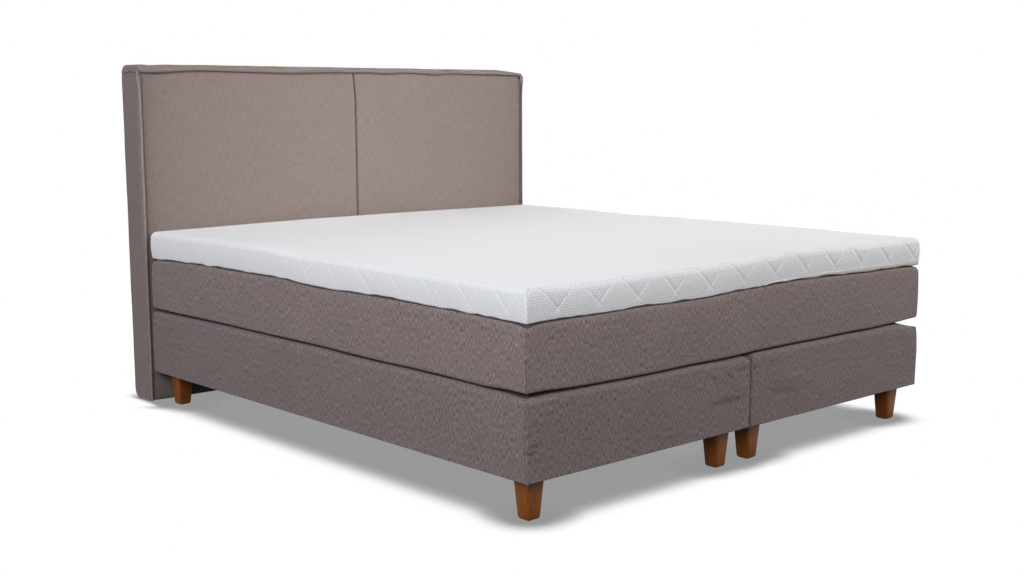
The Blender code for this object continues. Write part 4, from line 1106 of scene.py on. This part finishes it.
def makeBorder():
    shares = borderShares()
    piece, grid = makeGrid("headboardBorder", len(shares) - 1, 60)
    v = grid[:, 1]
    x, z, outX, outZ = borderPath(shares[np.rint(grid[:, 0] * (len(shares) - 1)).astype(int)])
    onTop = smoothStep(outZ, 0.35, 0.98)
    onSide = 1 - onTop
    fromCorner = headboard["edgeX"] - np.abs(x)
    grown = np.where(x < 0, smoothStep(fromCorner, 0.0, headboard["leftRun"]),
                     np.clip(fromCorner / headboard["rightRun"], 0, 1) ** 0.8)
    leftDip = 0.004 * np.exp(-((x + 0.86) / 0.03) ** 2) * onTop
    bulge = headboard["sideBulge"] + (headboard["topBulge"] - headboard["sideBulge"]) * grown * onTop
    bulge += 0.0010 * softNoise(np.column_stack([x, v * 0.12, z]), 0.09, 11.0) - leftDip * 0.5
    heel = headboard["heelRadius"]
    below = np.clip(heel - (z - headboard["bottomZ"]), 0, heel)
    backY = headboard["backY"] - (heel - np.sqrt(heel ** 2 - below ** 2))
    frontY = headboard["sideFrontY"] + (headboard["topFrontY"] - headboard["sideFrontY"]) * onTop
    clearance = headboard["edgeX"] - headboard["frameX"]
    seam = (seamHeight(x) - headboard["frameTopZ"] - 0.0005) * onTop
    y, out = bandPlace(v, frontY, backY, clearance + bulge, np.maximum(seam, 0.0))
    # the seam that joins the top strip to the side strips, just below the upper corner
    joint = np.exp(-((z - 1.186 + 0.004 * np.sin(v * 9)) / 0.0022) ** 2) * (outZ < 0.6)
    away = out - 0.0026 * joint - clearance
    writePoints(piece, np.column_stack([x + outX * away, y, z + outZ * away]))
    editWhole(piece, bpy.ops.mesh.flip_normals)
    # painted shade beside the welt, in the joint, on the front of the right strip, which faces away from the
    # light, and where the cloth turns to the back
    crease = 0.75 * joint + 0.80 * onSide * smoothStep(v, 0.81, 0.87)
    crease += 0.30 * (x > 0) * onSide * smoothStep(v, 0.34, 0.30) + 0.80 * onTop * smoothStep(v, 0.09, 0.04)
    markPoints(piece, "crease", crease)
    applyModifier(piece, "SOLIDIFY", thickness=headboard["clothThickness"], offset=-1.0)
    clothMap(piece)
    finishPiece(piece, headboardWeave, "bed_base", ("headboard_border",))


def makeWelt():
    # a round cord in a tube of cloth, swept along the front edge of the border
    deselectAll()
    bpy.ops.mesh.primitive_cylinder_add(vertices=10, radius=1, depth=1, end_fill_type="NGON",
                                        location=(0, 0, 0.5))
    piece = takeNew("headboardWelt")
    openEdit(piece)
    subdivideAlong(piece, 2, 400)
    bpy.ops.object.mode_set(mode="OBJECT")
    ring = readPoints(piece)
    x, z, outX, outZ = borderPath(np.clip(ring[:, 2], 0, 1))
    onTop = smoothStep(outZ, 0.1, 0.9)
    radius = headboard["weltRadius"] - 0.0012 * onTop
    lean = 0.006 * smoothStep(z, 1.10, 1.19) * (1 - onTop)
    seamDrop = (seamHeight(x) - headboard["edgeZ"] + 0.0015) * onTop
    beside = radius * ring[:, 0]
    points = np.column_stack([x + outX * (beside - 0.0008 * (1 - onTop)) + np.sign(x) * lean,
                              headboard["weltY"] + 0.0058 * onTop + radius * ring[:, 1],
                              z + (beside + seamDrop) * outZ - 0.004 * onTop])
    writePoints(piece, points)
    editWhole(piece, bpy.ops.mesh.normals_make_consistent, inside=False)
    # the right welt turns away from the light
    markPoints(piece, "crease", 0.50 * smoothStep(points[:, 0], 0.895, 0.905))
    finishPiece(piece, pipingWeave, "bed_base", ("headboard_piping",))


def makeBackCloth():
    # black cloth over the back, turned under round the heel and stapled to the frame
    node = "headboard_back_cloth"
    low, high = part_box(node)
    piece, shares = makeGrid("headboardBackCloth", 80, 70)
    heel, turn = headboard["heelRadius"], headboard["backTurn"]
    bend = heel * turn
    length = bend + high.z - headboard["bottomZ"] - heel
    away = shares[:, 1] * length
    angle = np.clip(1 - away / bend, 0, 1) * turn
    hollow = np.clip(np.sin(np.pi * shares[:, 0]) * np.sin(np.pi * shares[:, 1]), 0, 1)
    points = np.column_stack([
        low.x + (high.x - low.x) * shares[:, 0], high.y - 0.0003 - heel * (1 - np.cos(angle)),
        headboard["bottomZ"] + heel - heel * np.sin(angle) + np.clip(away - bend, 0, None)])
    points[:, 1] -= 0.0002 * np.sqrt(hollow) + 0.0002 * softNoise(points, 0.10, 12.0) * hollow
    writePoints(piece, points)
    applyModifier(piece, "SOLIDIFY", thickness=headboard["backThickness"], offset=0.0)
    finishPiece(piece, blackSpunbond, "bed_base", (node,))


for side in ("left", "right"):
    makePad(side)
makeBorder()
makeWelt()
makeBackCloth()
print("headboard made")


# nodes that keep their own shape

finishes = (
    (("_rail", "_deck", "_stile", "_post"), planedPine),
    (("_board",), fibreBoard),
    (("_felt",), needledFelt),
    (("_spring_unit", "spring_core"), springWrap),
    (("_top_pad", "_foam", "topper_core"), openFoam),
    (("_dust_cover", "_back_cloth"), blackSpunbond),
    (("_nut_", "connector", "bracket"), zincPlate),
)
for name, node in nodes.items():
    for words, material in finishes:
        if any(word in name for word in words):
            node.material_slots[0].material = material
print("inner nodes finished")


# floor, background and light

stage = {
    "floorSize": 60.0,
    "floorBounce": "#2c2c2c",        # what the floor throws back on the bed
    "shadowLevel": 0.300,            # how light the shadow under the bed looks
    "shadowReach": 0.145,
    "shadowRange": (0.665, 0.945),   # openness from full shadow to none
    "bareX": (-0.89, -0.93),         # behind and left of the headboard the floor has no shadow
    "bareY": (0.82, 0.94),
    "roomLight": 0.120,
}
backFill = {"from": (0.7, 1.0, 0.35), "spread": 60, "power": 0.36}
softboxes = {
    "headboardBox": {"place": (0.3, -5.2, 2.60), "aim": (0.1, 0.94, 1.04), "size": (2.4, 0.4), "power": 9.2,
                     "spread": 26, "colour": "#fffaf4"},
    "leftHighBox": {"place": (-5.4, 0.5, 2.7), "aim": (-0.9, 0.2, 0.8), "size": (2.9, 1.4), "power": 74.0,
                    "spread": 140, "colour": "#fdfdff"},
    "leftBox": {"place": (-4.2, -4.0, 2.8), "aim": (-0.9, -1.1, 0.4), "size": (2.5, 2.5), "power": 111.0,
                "spread": 140, "colour": "#fdfdff"},
    "rightBox": {"place": (4.4, -3.6, 2.9), "aim": (0.9, -0.9, 0.4), "size": (2.5, 2.5), "power": 116.0,
                 "spread": 140, "colour": "#fffdfa"},
}


def seenDirectly(tree):
    # 1 for what the camera, a mirror or glass shows, 0 for light that lands on the bed
    ray = addNode(tree, "LightPath", {}).node.outputs
    seen = addNode(tree, "Math", {"operation": "MAXIMUM", 0: ray["Is Camera Ray"], 1: ray["Is Glossy Ray"]})
    return addNode(tree, "Math", {"operation": "MAXIMUM", 0: seen, 1: ray["Is Transmission Ray"]})


def makeStage():
    deselectAll()
    bpy.ops.mesh.primitive_plane_add(size=stage["floorSize"], location=(0, 0, 0))
    floor = bpy.context.active_object
    floor.name = "floor"
    material, tree, shader = newMaterial("paleFloor", stage["floorBounce"])
    shader.inputs["Roughness"].default_value = 0.9
    shader.inputs["Specular IOR Level"].default_value = 0.0
    # seen straight or in a reflection the floor is white, with the bed's soft contact shadow on it
    openness = addNode(tree, "AmbientOcclusion", {"samples": 24, "Distance": stage["shadowReach"]}, "AO")
    place = addNode(tree, "SeparateXYZ", {0: addNode(tree, "TexCoord", {}, "Object")}).node.outputs
    levels = []
    for value, span, darkest in ((openness, "shadowRange", stage["shadowLevel"]),
                                 (place["X"], "bareX", 0.0), (place["Y"], "bareY", 0.0)):
        start, end = stage[span]
        levels.append(addNode(tree, "MapRange", {
            "interpolation_type": "SMOOTHSTEP", "From Min": start, "From Max": end, "To Min": darkest,
            "To Max": 1.0, "Value": value}))
    bare = addNode(tree, "Math", {"operation": "MULTIPLY", 0: levels[1], 1: levels[2]})
    level = addNode(tree, "Math", {"operation": "MAXIMUM", 0: levels[0], 1: bare})
    white = addNode(tree, "Emission", {"Strength": level})
    mixed = addNode(tree, "MixShader", {0: seenDirectly(tree), 1: shader.outputs["BSDF"], 2: white})
    tree.links.new(mixed, tree.nodes["Material Output"].inputs["Surface"])
    floor.data.materials.append(material)

    world = bpy.data.worlds.new("studio")
    bpy.context.scene.world = world
    world.use_nodes = True
    background = world.node_tree.nodes["Background"]
    background.inputs["Color"].default_value = (1, 1, 1, 1)
    strength = addNode(world.node_tree, "MapRange", {
        "To Min": stage["roomLight"], "To Max": 1.0, "Value": seenDirectly(world.node_tree)})
    world.node_tree.links.new(strength, background.inputs["Strength"])


def addLight(kind, name, place, toward, energy):
    deselectAll()
    bpy.ops.object.light_add(type=kind, location=place)
    light = bpy.context.active_object
    light.name = name
    light.data.energy = energy
    light.rotation_euler = toward.to_track_quat("-Z", "Y").to_euler()
    return light


def makeLights():
    sun = addLight("SUN", "backFill", (0, 0, 4), -Vector(backFill["from"]), backFill["power"] * math.pi)
    sun.data.angle = math.radians(backFill["spread"])
    for name, box in softboxes.items():
        light = addLight("AREA", name, box["place"], Vector(box["aim"]) - Vector(box["place"]), box["power"])
        light.data.shape = "RECTANGLE"
        light.data.size, light.data.size_y = box["size"]
        light.data.color = hexColour(box["colour"])[:3]
        light.data.spread = math.radians(box["spread"])
        light.visible_camera = False


makeStage()
makeLights()
bpy.context.scene.view_settings.view_transform = "Standard"
print("stage and light set")
